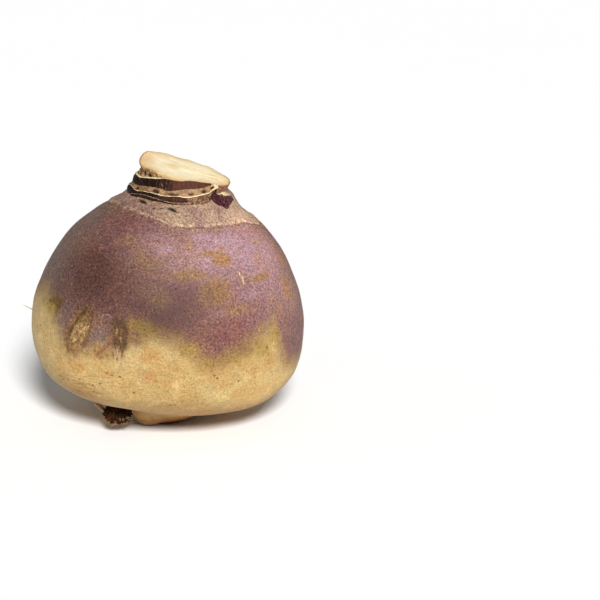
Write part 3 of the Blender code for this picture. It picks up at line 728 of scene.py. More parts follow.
    # lilac towards the upper right, the right and the back: partly the skin's own hue, partly painted sheen on the lit
    # side
    lilac_and_painted_sheen = np.clip(
        0.9 * bell(round_gap(deg, 306), 24) * bell(z - 89, 9)
        + 0.6 * bell(round_gap(deg, 335), 22) * bell(z - 72, 16)
        + 0.5 * bell(round_gap(deg, 80), 30) * bell(z - 88, 12)
        + 0.3 * bell(round_gap(deg, 262), 14) * bell(z - 92, 8), 0, 1)
    marks = {
        "purple": purple / 10.0,
        "ochre": ochre,
        "tone": tone,
        "grey_and_painted_sheen": grey_and_painted_sheen,
        "lilac_and_painted_sheen": np.maximum(0.8 * lilac_and_painted_sheen, patches(LILAC_AND_PAINTED_SHEEN)),
        "olive": patches(OLIVE, 0.9),
        # orange places on the gold, plus deeper gold below about 28 mm, full below 10 mm, as painted shade near the
        # floor
        "orange_and_low_shade": np.maximum(patches(ORANGE, 0.9), 0.65 * step(-z, -28, -10)),
        "brown": patches(BROWN),
        "plum": patches(PLUM),
        "collar": over / 10.0,
        "sideways": grid[..., 0] * 100,
        "cork": cork,
        "rim": rim,
        "pucker": inside,
        "tail": tail,
        # slits and the neck's holes, to be painted near black as painted shade inside them
        "slit_shade": np.maximum(slit_shade, hole),
        # scar lines, and painted shade in a thin line under the collar's ledge
        "scar_and_ledge_shade": np.clip(scars + bell(over + 0.2, 0.35) * step(z, 50, 60), 0, 1),
        "scratch": scratch,
        "neck": on_neck,
        "tap": step(-z, -7.0, -0.5),
    }

    # ---- the cut face of the crown, and the flat end of the taproot
    centre = moved[-1].mean(0)
    centre[2] = crown_plane(centre[0], centre[1])
    discs = []
    high = moved[-1, :, 2] - crown_plane(moved[-1, :, 0], moved[-1, :, 1])
    for k in range(1, DISC_ROWS):
        q = 1 - (k / DISC_ROWS) ** 1.6
        ring = centre + (moved[-1] - centre) * q
        ring[:, 2] = crown_plane(ring[:, 0], ring[:, 1]) + high * step(q, 0.72, 1.0) + blunt * step(1 - q, 0.0, 0.05)
        knife = ring[:, 0] * 0.25 + ring[:, 1] * 0.97
        wave = (
            0.10 * rough(np.stack([knife * 3, ring[:, 0] * 0.2, ring[:, 1] * 0], -1), 0.006, 2, shift=80.0)
            + 0.16 * rough(ring, 0.011, 2, shift=81.0)
            - 0.22 * (1 - q) * (1 - q)
        )
        ring = ring.copy()
        ring[:, 2] += wave * MM * step(1 - q, 0.0, 0.06)
        discs.append(ring)
    feet = []
    foot_centre = moved[0].mean(0)
    foot_centre[2] = 0.0
    for k in range(1, FOOT_ROWS):
        q = k / FOOT_ROWS
        ring = foot_centre + (moved[0] - foot_centre) * q
        ring = ring.copy()
        ring[:, 2] = np.maximum(0.0, 0.25 * rough(ring, 0.004, 2, shift=90.0)) * MM * step(1 - q, 0.0, 0.3)
        feet.append(ring)

    layers = feet + list(moved) + discs
    count = len(layers)
    verts = np.concatenate([np.concatenate(layers), [foot_centre, centre]])
    faces, kinds, uvs = [], [], []
    lengths = np.concatenate([[0], np.cumsum(np.linalg.norm(np.diff(moved, axis=0), axis=-1).mean(1))])
    lengths /= lengths[-1]
    first = len(feet)
    last = first + len(moved) - 1
    around = np.arange(AROUND + 1) / AROUND

    def side_uv(row, col):
        return (0.004 + 0.992 * around[col], 0.004 + 0.772 * lengths[row - first])

    def round_uv(row, col, which):
        a = 2 * math.pi * around[col % AROUND if col < AROUND else 0]
        if which == "disc":
            r = 0.105 * (1 - ((row - last) / DISC_ROWS) ** 1.6)
            return (0.115 + r * math.cos(a), 0.89 + r * math.sin(a))
        r = 0.085 * (row + 1) / FOOT_ROWS if row < first else 0.085
        return (0.335 + r * math.cos(a), 0.89 + r * math.sin(a))

    for r in range(count - 1):
        for c in range(AROUND):
            n = (c + 1) % AROUND
            faces.append((r * AROUND + c, r * AROUND + n, (r + 1) * AROUND + n, (r + 1) * AROUND + c))
            if r >= last:
                kinds.append(1)
                uvs += [round_uv(r, c, "disc"), round_uv(r, n, "disc"), round_uv(r + 1, n, "disc"), round_uv(r + 1, c, "disc")]
            elif r < first:
                kinds.append(2)
                uvs += [round_uv(r, c, "foot"), round_uv(r, n, "foot"), round_uv(r + 1, n, "foot"), round_uv(r + 1, c, "foot")]
            else:
                kinds.append(0)
                uvs += [side_uv(r, c), side_uv(r, c + 1), side_uv(r + 1, c + 1), side_uv(r + 1, c)]
    foot_at, centre_at = len(verts) - 2, len(verts) - 1
    for c in range(AROUND):
        n = (c + 1) % AROUND
        faces.append((foot_at, n, c))
        kinds.append(2)
        uvs += [(0.335, 0.89), round_uv(0, n, "foot"), round_uv(0, c, "foot")]
        base = (count - 1) * AROUND
        faces.append((base + c, base + n, centre_at))
        kinds.append(1)
        uvs += [round_uv(count - 1, c, "disc"), round_uv(count - 1, n, "disc"), (0.115, 0.89)]
    full = {}
    for key, values in marks.items():
        low = np.repeat(values[:1], len(feet), axis=0)
        high = np.repeat(values[-1:], len(discs), axis=0)
        full[key] = np.concatenate([low.ravel(), values.ravel(), high.ravel(), [values[0].mean(), values[-1].mean()]])
    # how far in from the rim each point of the cut face is, 0 at the rim
    inward = np.zeros(len(verts))
    for k in range(1, DISC_ROWS):
        inward[(last + k) * AROUND:(last + k + 1) * AROUND] = (k / DISC_ROWS) ** 1.6
    inward[centre_at] = 1.0
    full["inward"] = inward
    # direction of each point of it about its middle, in degrees
    full["turned"] = np.degrees(np.arctan2(verts[:, 1] - centre[1], verts[:, 0] - centre[0])) % 360
    return make_mesh("rutabaga_root", verts, faces, full, kinds, uvs, materials)


# ================================================================= materials
def offset(at, a, b):
    """A place a mm to the right of at and b mm up from it, along the surface."""
    p, normal, right, up = at
    return p + (right * a + up * b) * MM, normal, right, up


def line_of(n, at, points, wide, soft, torn, share):
    """A painted line through points given in mm from at."""
    parts = []
    for (a0, b0), (a1, b1) in zip(points[:-1], points[1:]):
        length = math.hypot(a1 - a0, b1 - b0)
        turned = -math.degrees(math.atan2(a1 - a0, b1 - b0))
        parts.append(n.spot(offset(at, (a0 + a1) / 2, (b0 + b1) / 2), wide, length / 2 + wide * 0.8, turned, soft, torn, share))
    return n.most(parts)


def spots_of(n, at, spots, soft, torn, share):
    """Painted spots: each is right, up, half width, half height in mm and turn."""
    return n.most([n.spot(offset(at, a, b), w, h, t, soft, torn, share) for a, b, w, h, t in spots])


def paint_eye(n, colour, eye, small, grain, torn, torn_more):
    """Colours of one corky eye, over the skin's colour."""
    kind, direction, height, wide, tall, turned, deep = eye

    def paint(r, g, b):
        return srgb(r * 0.86, g * 0.85, b * 0.83)

    at = on_root(direction, height)
    if kind == "dot":
        colour = n.mix(n.spot(offset(at, -2.2, -1.9), 3.4, 3.6, 10.0, 0.5, torn, 0.85), colour, paint(158, 130, 62))
        colour = n.mix(n.spot(offset(at, 0.6, 1.6), 4.6, 2.4, 10.0, 0.6, torn, 0.85), colour, paint(112, 78, 38))
        colour = n.mix(n.spot(offset(at, 3.0, -0.6), 2.0, 3.2, 10.0, 0.6, torn, 0.8), colour, paint(112, 80, 42))
        dark = spots_of(n, at, ((-4.0, 0.6, 0.8, 0.6, 0), (-1.8, 1.5, 0.9, 0.5, 10), (1.4, 1.7, 0.8, 0.6, 0), (4.0, 1.6, 1.5, 0.8, 20),
                                (3.9, -0.4, 1.3, 0.9, 0), (1.9, -0.2, 0.7, 0.7, 0), (0.4, 3.0, 0.8, 0.4, 0)), 0.7, torn_more, 0.85)
        return n.mix(dark, colour, paint(84, 56, 26))
    flip = 1.0 if kind == "short" or turned < 0 else -1.0
    sized = tall / (6.4 if kind == "short" else 10.0)

    def o(a, b):
        return a * flip * sized, b * sized

    def many(*spots):
        return tuple((a * flip * sized, b * sized, w * sized, h * sized, t * flip) for a, b, w, h, t in spots)

    if kind == "long":
        # soft brown edge, then the pale corky inside
        colour = n.mix(n.spot(offset(at, *o(-0.3, -0.4)), 5.9 * sized, 11.1 * sized, -25.0 * flip, 0.30, torn, 0.85), colour, paint(112, 76, 36))
        inside = n.spot(offset(at, *o(0.1, -0.6)), 4.5 * sized, 9.6 * sized, -25.0 * flip, 0.26, torn, 0.92)
        corky = n.mix(n.fit(small, 0.32, 0.68), paint(144, 110, 66), paint(168, 135, 88))
        corky = n.mix(n.fit(grain, 0.50, 0.74, 0.0, 0.32), corky, paint(188, 156, 110))
        corky = n.mix(n.fit(grain, 0.46, 0.30, 0.0, 0.45), corky, paint(112, 78, 42))
        colour = n.mix(inside, colour, corky)
        colour = n.mix(n.spot(offset(at, *o(2.6, 7.2)), 4.8 * sized, 3.8 * sized, 0.0, 0.6, torn, 0.52), colour, paint(104, 74, 38))
        colour = n.mix(n.spot(offset(at, *o(-1.8, -8.0)), 3.4 * sized, 2.2 * sized, 0.0, 0.6, torn, 0.6), colour, paint(150, 104, 66))
        flecks = spots_of(n, at, many((2.6, 0.9, 0.5, 2.6, -50), (0.2, 2.6, 1.6, 0.5, 0), (-2.1, -4.4, 0.55, 1.5, -30), (0.6, -2.2, 0.4, 1.2, -40)), 0.8, torn_more, 0.40)
        colour = n.mix(flecks, colour, paint(202, 172, 128))
        pits = spots_of(n, at, many((-3.2, -4.2, 0.6, 0.8, 0), (-2.6, -6.1, 0.7, 0.6, 0), (0.4, -3.3, 0.5, 0.9, -40), (1.4, -1.8, 0.5, 0.8, -40),
                                    (-1.0, -5.2, 0.6, 0.6, 0), (1.0, 5.0, 0.6, 0.7, 0), (-0.6, -0.6, 0.4, 0.7, -40)), 0.7, torn_more, 0.58)
        colour = n.mix(pits, colour, paint(90, 60, 32))
        fringe = spots_of(n, at, many((-1.4, 9.9, 0.6, 1.2, 20), (0.4, 10.8, 0.5, 1.2, 0), (2.4, 10.4, 0.6, 1.2, -10), (4.6, 9.6, 0.6, 1.2, -30), (6.3, 8.0, 0.7, 1.0, -50),
                                      (4.4, 6.8, 0.8, 0.8, 0), (3.0, 5.4, 0.7, 0.6, 0), (2.2, 8.2, 1.0, 0.7, 0), (6.4, 5.4, 0.7, 1.0, 0)), 0.8, torn_more, 0.62)
        colour = n.mix(fringe, colour, paint(78, 50, 24))
        notch = spots_of(n, at, many((5.0, -3.4, 1.1, 1.6, 0), (3.8, -5.2, 1.2, 1.0, 0), (6.2, 0.6, 0.6, 1.8, -10)), 0.8, torn_more, 0.62)
        colour = n.mix(notch, colour, paint(88, 60, 32))
        groove = line_of(n, at, [o(*p) for p in ((2.4, 9.6), (0.2, 6.8), (-2.7, 2.4), (-5.8, -2.7))], 0.85, 0.8, torn_more, 0.88)
        weak = line_of(n, at, [o(*p) for p in ((-5.8, -2.7), (-7.0, -6.0), (-5.4, -9.0))], 0.9, 0.9, torn_more, 0.55)
        return n.mix(n.math("MAXIMUM", groove, weak), colour, paint(78, 52, 20))
    # the short one: upright dark strokes, and a reddish ridge that curves down from it
    patch = n.spot(offset(at, *o(0.2, 0.2)), 4.4 * sized, 7.4 * sized, 4.0, 0.45, torn, 1.0)
    mottle = n.mix(n.fit(n.noise(0.0014, 2, 0.6, where=n.stretch(1.0, 1.0, 0.6)), 0.40, 0.60), paint(76, 50, 28), paint(106, 78, 48))
    colour = n.mix(patch, colour, mottle)
    inside = n.spot(offset(at, *o(0.9, -0.6)), 1.9 * sized, 5.0 * sized, 4.0, 0.8, torn_more, 0.6)
    colour = n.mix(n.math("MULTIPLY", inside, 0.7), colour, paint(112, 82, 50))
    pale = spots_of(n, at, many((-0.6, 2.2, 0.5, 1.6, 6), (0.9, -1.4, 0.5, 1.5, 0), (-0.3, -7.0, 0.8, 2.2, 0), (-1.5, -7.6, 0.6, 1.6, 10), (0.8, -8.8, 0.6, 1.8, 0)),
                    0.8, torn_more, 0.65)
    colour = n.mix(n.math("MULTIPLY", pale, 0.85), colour, paint(190, 158, 118))
    bend = line_of(n, at, [o(*p) for p in ((-1.6, 6.6), (1.4, 5.6), (3.3, 2.6), (3.6, -1.4), (2.4, -5.2))], 0.95, 0.6, torn_more, 1.0)
    dark = spots_of(n, at, many((-1.8, 3.4, 0.7, 1.5, 10), (-2.0, -0.6, 0.7, 1.8, 6), (0.2, 0.9, 0.6, 1.5, 12), (1.9, 0.6, 0.6, 1.7, -8), (0.0, -3.0, 0.7, 1.2, 0), (1.2, -5.0, 0.6, 1.2, 0),
                                (-2.6, 5.2, 1.0, 0.7, 0), (0.4, 4.4, 0.9, 0.8, 0), (1.9, -7.4, 0.5, 1.9, -8), (-2.4, -8.6, 0.5, 1.4, 10), (-0.4, -10.4, 0.45, 0.9, 0)), 0.8, torn_more, 0.75)
    colour = n.mix(n.math("MAXIMUM", dark, bend), colour, paint(82, 52, 26))
    ridge = line_of(n, at, [o(*p) for p in ((-3.3, -0.8), (-4.4, -4.0), (-6.4, -6.4), (-10.0, -8.4))], 1.3, 0.7, torn, 0.62)
    colour = n.mix(ridge, colour, paint(156, 106, 78))
    under = line_of(n, at, [o(*p) for p in ((-3.9, -3.0), (-5.2, -5.2), (-7.2, -7.0), (-10.2, -9.4))], 0.6, 0.8, torn_more, 0.6)
    colour = n.mix(under, colour, paint(96, 60, 38))
    specks = spots_of(n, at, many((-8.2, -10.4, 0.9, 0.5, 0), (-5.2, -9.2, 0.8, 0.5, 0), (-11.2, -7.6, 0.8, 0.6, 0)), 0.5, torn_more, 0.7)
    colour = n.mix(specks, colour, paint(128, 82, 50))
    arc = line_of(n, at, [o(*p) for p in ((-8.2, 7.6), (-7.2, 8.7), (-5.2, 8.9), (-3.9, 8.0))], 0.35, 0.8, torn, 0.35)
    return n.mix(arc, colour, paint(160, 134, 128))


def root_skin():
    n = Nodes("root_skin_finish")
    purple_at, ochre_at, tone, collar_at = n.mark("purple"), n.mark("ochre"), n.mark("tone"), n.mark("collar")
    grey_and_painted_sheen_at, lilac_and_painted_sheen_at, olive_at = n.mark("grey_and_painted_sheen"), n.mark("lilac_and_painted_sheen"), n.mark("olive")
    orange_and_low_shade_at, brown_at, plum_at = n.mark("orange_and_low_shade"), n.mark("brown"), n.mark("plum")
    cork, pucker, slit_shade = n.mark("cork"), n.mark("pucker"), n.mark("slit_shade")
    scar_and_ledge_shade, scratch, neck, tap = n.mark("scar_and_ledge_shade"), n.mark("scratch"), n.mark("neck"), n.mark("tap")

    big = n.noise(0.022, 3, 0.55)
    mid = n.noise(0.0075, 3, 0.6)
    small = n.noise(0.0026, 3, 0.6)
    grain = n.noise(0.00100, 2, 0.65)
    fine = n.noise(0.00055, 1, 0.5)
    warm = n.noise(0.0042, 4, 0.65, where=n.moved(3.1, 1.7, 0.4))
    ragged_small = n.fit(small, 0.25, 0.75, -0.34, 0.34, False)

    # golden lower skin
    gold = n.mix(n.fit(big, 0.35, 0.65), GOLD_A, GOLD_B)
    gold = n.mix(n.fit(warm, 0.56, 0.74, 0.0, 0.6), gold, GOLD_DEEP)
    gold = n.mix(n.fit(mid, 0.52, 0.70, 0.0, 0.45), gold, GOLD_PALE)
    # deeper gold at the orange places and, as painted shade, towards the bottom
    gold = n.mix(n.fit(n.math("ADD", orange_and_low_shade_at, ragged_small), 0.10, 0.85, 0.0, 0.66), gold, GOLD_DEEP)
    # purple upper skin
    mauve = n.mix(n.fit(big, 0.36, 0.64), MAUVE_A, MAUVE_B)
    mauve = n.mix(n.fit(mid, 0.46, 0.66, 0.0, 0.7), mauve, MAUVE_BROWN)
    mauve = n.mix(n.fit(warm, 0.50, 0.68, 0.0, 0.55), mauve, MAUVE_PINK)
    mauve = n.mix(n.math("MULTIPLY", brown_at, n.fit(warm, 0.3, 0.65, 0.35, 1.0)), mauve, MAUVE_BROWN)
    mauve = n.mix(n.math("MULTIPLY", plum_at, n.fit(mid, 0.3, 0.7, 0.95, 0.6)), mauve, MAUVE_PLUM)
    # lilac places: partly the skin's own hue, partly painted sheen
    mauve = n.mix(n.math("MULTIPLY", lilac_and_painted_sheen_at, n.fit(mid, 0.25, 0.7, 1.0, 0.55)), mauve, MAUVE_LILAC)
    # greyer towards the left edge: partly the skin's own colour, partly painted sheen
    mauve = n.mix(n.math("MULTIPLY", grey_and_painted_sheen_at, n.fit(mid, 0.25, 0.7, 0.95, 0.6)), mauve, MAUVE_GREY)
    # the edge between them is ragged, and passes through olive
    ragged = n.math("ADD", n.fit(mid, 0.3, 0.7, -0.22, 0.22, False), n.fit(small, 0.3, 0.7, -0.16, 0.16, False))
    ragged = n.math("ADD", ragged, n.fit(grain, 0.3, 0.7, -0.16, 0.16, False))
    edge = n.math("ADD", purple_at, ragged)
    is_purple = n.fit(edge, -0.62, 0.58)
    skin_colour = n.mix(is_purple, gold, mauve)
    olive = n.math("MULTIPLY", n.fit(edge, -0.50, -0.05), n.fit(edge, 0.75, 0.05))
    skin_colour = n.mix(n.math("MULTIPLY", olive, n.fit(big, 0.3, 0.62, 0.15, 0.45)), skin_colour, OLIVE_SKIN)
    skin_colour = n.mix(n.fit(n.math("ADD", olive_at, n.fit(small, 0.25, 0.75, -0.22, 0.22, False)), 0.08, 0.95, 0.0, 0.80), skin_colour, OLIVE_SKIN)
    # ochre patches
    halo = n.fit(n.math("ADD", ochre_at, n.fit(mid, 0.3, 0.7, -0.12, 0.12, False)), 0.05, 0.70, 0.0, 0.55)
    skin_colour = n.mix(n.math("MULTIPLY", halo, is_purple), skin_colour, OCHRE_HALO)
    ochre = n.fit(n.math("ADD", n.math("ADD", ochre_at, ragged_small), n.fit(grain, 0.3, 0.7, -0.16, 0.16, False)), 0.24, 0.80, 0.0, 0.84)
    skin_colour = n.mix(n.math("MULTIPLY", ochre, is_purple), skin_colour, OCHRE_SKIN)
    # corky collar
    fade = n.fit(n.math("ADD", n.math("ADD", collar_at, n.fit(small, 0.3, 0.7, -0.10, 0.10, False)), n.fit(grain, 0.3, 0.7, -0.08, 0.08, False)), -0.16, 0.20)
    fade = n.math("MULTIPLY", fade, n.fit(mid, 0.25, 0.75, 0.66, 0.92))
    collar = n.mix(n.fit(n.math("MULTIPLY_ADD", n.mark("sideways"), 0.05, mid), 0.38, 0.62), COLLAR_A, COLLAR_B)
    collar = n.mix(n.fit(fine, 0.46, 0.70, 0.0, 0.5), collar, COLLAR_PALE)
    skin_colour = n.mix(fade, skin_colour, collar)
    # a painted highlight along the ledge where the collar ends; painted shade under the ledge comes with the scar lines
    painted_highlight_line = n.math("MULTIPLY", n.fit(collar_at, -0.02, 0.03), n.fit(collar_at, 0.14, 0.07))
    skin_colour = n.mix(n.math("MULTIPLY", painted_highlight_line, n.fit(small, 0.36, 0.6, 0.05, 0.6)), skin_colour, COLLAR_PALE)

    # darker and paler places: the skin's own tone, with painted shade on the left and painted light on the right and
    # over the back
    skin_colour = n.gain(skin_colour, n.math("MULTIPLY", tone, n.math("ADD", n.fit(mid, 0.3, 0.7, 0.94, 1.07, False), n.fit(warm, 0.3, 0.7, -0.05, 0.05, False))))

    # neck side under the crown: tan on the left, brown-pink on the right
    stem = n.mix(n.fit(n.math("ADD", n.mark("sideways"), n.fit(small, 0.3, 0.7, -0.3, 0.3, False)), -0.4, 1.0), srgb(138, 104, 66), srgb(132, 84, 60))
    stem = n.mix(n.math("MULTIPLY", n.fit(grain, 0.40, 0.66, 0.0, 0.7), n.fit(n.mark("sideways"), 0.0, 1.6, 1.0, 0.35)), stem, srgb(186, 154, 112))
    stem = n.mix(n.fit(warm, 0.44, 0.34, 0.0, 0.6), stem, srgb(84, 58, 36))
    skin_colour = n.mix(neck, skin_colour, stem)

    # lenticels on the gold: small brown marks that lie level
    flat = n.stretch(1.0, 1.0, 1.9)
    dots = n.cells(0.0085, where=flat)
    chance = n.cells(0.0085, where=flat, out="Color")
    apart = n.add("ShaderNodeSeparateColor")
    n.put(apart.inputs[0], chance)
    chosen = n.math("GREATER_THAN", apart.outputs[0], 0.28)
    dot = n.math("MULTIPLY", n.fit(dots, 0.105, 0.050), chosen)
    dots2 = n.cells(0.0046, where=n.stretch(1.0, 1.0, 1.5))
    dot2 = n.math("MULTIPLY", n.fit(dots2, 0.13, 0.05), n.fit(warm, 0.50, 0.60))
    dot = n.math("MAXIMUM", dot, n.math("MULTIPLY", dot2, 0.55))
    off_purple = n.math("SUBTRACT", 1.0, is_purple)
    skin_colour = n.mix(n.math("MULTIPLY", n.math("MULTIPLY", dot, off_purple), 0.8), skin_colour, srgb(98, 60, 24))

    for direction, high in ((245.7, 37.8), (248.0, 37.0), (251.6, 36.6), (241.8, 32.2), (219.0, 31.5), (223.5, 30.9), (231.1, 32.6), (237.9, 30.8)):
        skin_colour = n.mix(n.spot(on_root(direction, high), 0.62, 0.42, 0.0, 0.5, None, 0.75), skin_colour, srgb(90, 54, 22))
    # fine level wrinkles, strongest low on the left
    level = n.noise(0.0050, 3, 0.6, where=n.stretch(1.0, 1.0, 6.0))
    wrinkled = n.math("ADD", n.spot(on_root(229.0, 29.0), 17.0, 6.0, 0.0, 0.9, None, 0.34), 0.14)
    wrinkled = n.math("MULTIPLY", n.math("MULTIPLY", n.fit(level, 0.50, 0.64), off_purple), wrinkled)
    skin_colour = n.mix(wrinkled, skin_colour, srgb(122, 78, 38))

    # scar lines darkened, with painted shade under the collar's ledge; a pale scratch; slits and holes painted near
    # black as painted shade inside them
    skin_colour = n.mix(n.math("MULTIPLY", n.fit(scar_and_ledge_shade, 0.30, 0.9), n.fit(small, 0.3, 0.65, 0.25, 0.80)), skin_colour, srgb(98, 66, 47))
    skin_colour = n.mix(n.fit(scratch, 0.35, 0.8, 0.0, 0.9), skin_colour, srgb(190, 164, 116))
    skin_colour = n.mix(n.fit(n.math("ADD", slit_shade, n.fit(grain, 0.3, 0.7, -0.12, 0.12, False)), 0.16, 0.62), skin_colour, srgb(34, 20, 12))
    # the taproot is browner: partly its own colour, partly painted shade low by the floor
    skin_colour = n.mix(n.math("MULTIPLY", tap, 0.95), skin_colour, srgb(112, 60, 8))

    # eyes
    torn = n.math("ADD", n.fit(small, 0.25, 0.75, 0.78, 1.22, False), n.fit(grain, 0.25, 0.75, -0.14, 0.14, False))
    torn_more = n.math("ADD", n.fit(grain, 0.25, 0.75, 0.4, 1.6, False), n.fit(small, 0.25, 0.75, -0.2, 0.2, False))
    for eye in EYES:
        skin_colour = paint_eye(n, skin_colour, eye, small, grain, torn, torn_more)
    # mauve-brown skin beside the short eye, and where the purple reaches down in front
    skin_colour = n.mix(n.spot(on_root(258.8, 54.8), 3.2, 2.5, 0.0, 0.9, torn, 0.6), skin_colour, srgb(98, 70, 50))
    skin_colour = n.mix(n.spot(on_root(305.0, 47.6), 6.0, 2.8, 0.0, 0.9, torn, 0.5), skin_colour, srgb(114, 82, 64))
    # browner, darker skin above the side root: partly its own colour, partly painted shade low by the floor
    skin_colour = n.mix(n.spot(on_root(228.0, 14.5), 9.5, 4.6, 0.0, 0.9, torn, 0.75), skin_colour, srgb(104, 66, 30))
    # a small hole by the side root, painted only: a pale edge round a near-black middle that is painted shade
    hole = on_root(*HOLE_AT)
    skin_colour = n.mix(n.spot(hole, 1.5, 1.1, 0.0, 0.25, torn, 0.8), skin_colour, srgb(196, 160, 120))
    skin_colour = n.mix(n.spot(hole, 0.85, 0.6, 0.0, 0.3, torn, 1.0), skin_colour, srgb(24, 14, 8))

    # fine speckled grain, stronger on the purple; the pale specks follow the tone mark and so carry its painted shade
    # and painted light
    pale = n.cells(0.0019)
    pale = n.math("MULTIPLY", n.math("MULTIPLY", n.fit(pale, 0.26, 0.10), tone), n.fit(warm, 0.42, 0.60, 0.1, 0.6))
    skin_colour = n.mix(n.math("MULTIPLY", pale, n.math("MULTIPLY", is_purple, 0.30)), skin_colour, PALE_SPECK)
    skin_colour = n.mix(n.math("MULTIPLY", n.math("MULTIPLY", n.fit(grain, 0.48, 0.74, 0.0, 0.14), tone), is_purple), skin_colour, srgb(150, 118, 90))
    speck = n.math("ADD", n.fit(grain, 0.30, 0.70, -0.6, 0.6, False), n.fit(fine, 0.25, 0.75, -0.5, 0.5, False))
    strength = n.math("MAXIMUM", n.fit(is_purple, 0.0, 1.0, 0.38, 0.72, False), n.math("MULTIPLY", cork, 0.45))
    skin_colour = n.gain(skin_colour, n.math("MULTIPLY_ADD", speck, strength, 1.0))

    height = n.math("ADD", n.math("MULTIPLY", grain, 0.55), n.math("MULTIPLY", small, 0.9))
    height = n.math("ADD", height, n.math("MULTIPLY", fine, 0.25))
    height = n.math("ADD", height, n.math("MULTIPLY", n.math("MULTIPLY", grain, cork), 0.8))
    height = n.math("SUBTRACT", height, n.math("MULTIPLY", n.math("ADD", dot, wrinkled), 0.5))
    rough_skin = n.math("ADD", n.fit(grain, 0.3, 0.7, 0.50, 0.66), n.math("MULTIPLY", n.math("ADD", fade, cork), 0.18))
    return n.finish(skin_colour, rough_skin, height, 0.00042, specular=0.20)


def cut_flesh():
    n = Nodes("cut_crown_finish")
    inward, turned = n.mark("inward"), n.mark("turned")
    big = n.noise(0.012, 3, 0.55)
    small = n.noise(0.0022, 3, 0.6)
    fine = n.noise(0.0008, 2, 0.6)
    side = n.add("ShaderNodeSeparateXYZ")
    n.put(side.inputs[0], n.where)
    flesh = n.mix(n.fit(big, 0.38, 0.62), srgb(240, 225, 190), srgb(229, 204, 156))
    flesh = n.mix(n.fit(inward, 0.42, 0.08, 0.0, 0.55), flesh, srgb(226, 198, 144))
    # a warmer place towards the right end, and pinker tissue by the left rim
    spot = n.vmath("DISTANCE", n.vmath("MULTIPLY", n.where, (1.0, 0.8, 0.0)), (0.0215, -0.0015, 0.0))
    flesh = n.mix(n.fit(n.math("ADD", spot, n.fit(small, 0.3, 0.7, -0.0014, 0.0014, False)), 0.0054, 0.0010, 0.0, 0.50), flesh, srgb(224, 188, 122))
    left = n.math("MULTIPLY", n.fit(side.outputs["X"], 0.003, -0.009), n.fit(inward, 0.50, 0.05))
    flesh = n.mix(n.math("MULTIPLY", left, n.fit(small, 0.3, 0.6, 0.35, 0.95)), flesh, srgb(220, 184, 140))
    flesh = n.mix(n.math("MULTIPLY", left, n.fit(fine, 0.54, 0.7, 0.0, 0.6)), flesh, srgb(200, 148, 106))
    # the knife slipped in front: a tan-brown slope
    bevel = n.math("MULTIPLY", n.math("MULTIPLY", n.fit(turned, 236.0, 250.0), n.fit(turned, 282.0, 264.0)),
                   n.fit(n.math("ADD", inward, n.fit(small, 0.3, 0.7, -0.04, 0.04, False)), 0.20, 0.05))
    flesh = n.mix(n.math("MULTIPLY", bevel, n.fit(fine, 0.3, 0.6, 0.6, 0.95)), flesh, srgb(186, 142, 84))
    flesh = n.mix(n.math("MULTIPLY", n.fit(n.math("ADD", inward, n.fit(small, 0.3, 0.7, -0.10, 0.10, False)), 0.22, 0.04), n.fit(small, 0.42, 0.62, 0.15, 0.8)), flesh, srgb(208, 172, 122))
    rim = n.fit(n.math("ADD", inward, n.fit(small, 0.3, 0.7, -0.02, 0.02, False)), 0.055, 0.012)
    flesh = n.mix(n.math("MULTIPLY", rim, 0.9), flesh, srgb(150, 112, 76))
    flesh = n.mix(n.math("MULTIPLY", n.fit(inward, 0.26, 0.03), n.fit(fine, 0.50, 0.66, 0.0, 0.55)), flesh, srgb(192, 152, 102))
    flesh = n.gain(flesh, n.fit(fine, 0.3, 0.7, 0.95, 1.05, False))
    height = n.math("ADD", n.math("MULTIPLY", small, 0.6), n.math("MULTIPLY", fine, 0.4))
    return n.finish(flesh, n.fit(small, 0.3, 0.7, 0.48, 0.62), height, 0.00018, specular=0.30)


def cut_taproot():
    n = Nodes("cut_taproot_finish")
    small = n.noise(0.0024, 3, 0.6)
    fine = n.noise(0.0009, 2, 0.6)
    colour = n.mix(n.fit(small, 0.35, 0.65), srgb(196, 160, 104), srgb(150, 108, 62))
    colour = n.gain(colour, n.fit(fine, 0.3, 0.7, 0.86, 1.12, False))
    return n.finish(colour, 0.72, n.math("ADD", small, n.math("MULTIPLY", fine, 0.5)), 0.0003, specular=0.25)


def leaf_skin(name, dark, light, ridge):
    n = Nodes(name)
    tone, corky = n.mark("tone"), n.mark("corky")
    small = n.noise(0.0018, 3, 0.6)
    fine = n.noise(0.0007, 2, 0.6)
    grain = n.noise(0.0010, 2, 0.65)
    streak = n.noise(0.0011, 2, 0.55, where=n.stretch(1.0, 1.0, 0.25))
    colour = n.mix(n.math("ADD", tone, n.fit(streak, 0.35, 0.65, -0.2, 0.2, False)), dark, light)
    colour = n.mix(n.fit(streak, 0.56, 0.72, 0.0, 0.6), colour, ridge)
    tan = n.mix(n.fit(grain, 0.42, 0.62), srgb(84, 57, 43), srgb(130, 99, 74))
    colour = n.mix(n.fit(n.math("ADD", corky, n.fit(grain, 0.3, 0.7, -0.35, 0.35, False)), 0.35, 0.75), colour, tan)
    colour = n.gain(colour, n.fit(fine, 0.3, 0.7, 0.75, 1.3, False))
    height = n.math("ADD", n.math("MULTIPLY", streak, 0.8), n.math("MULTIPLY", fine, 0.4))
    return n.finish(colour, n.fit(small, 0.3, 0.7, 0.55, 0.75), height, 0.0003, specular=0.11)


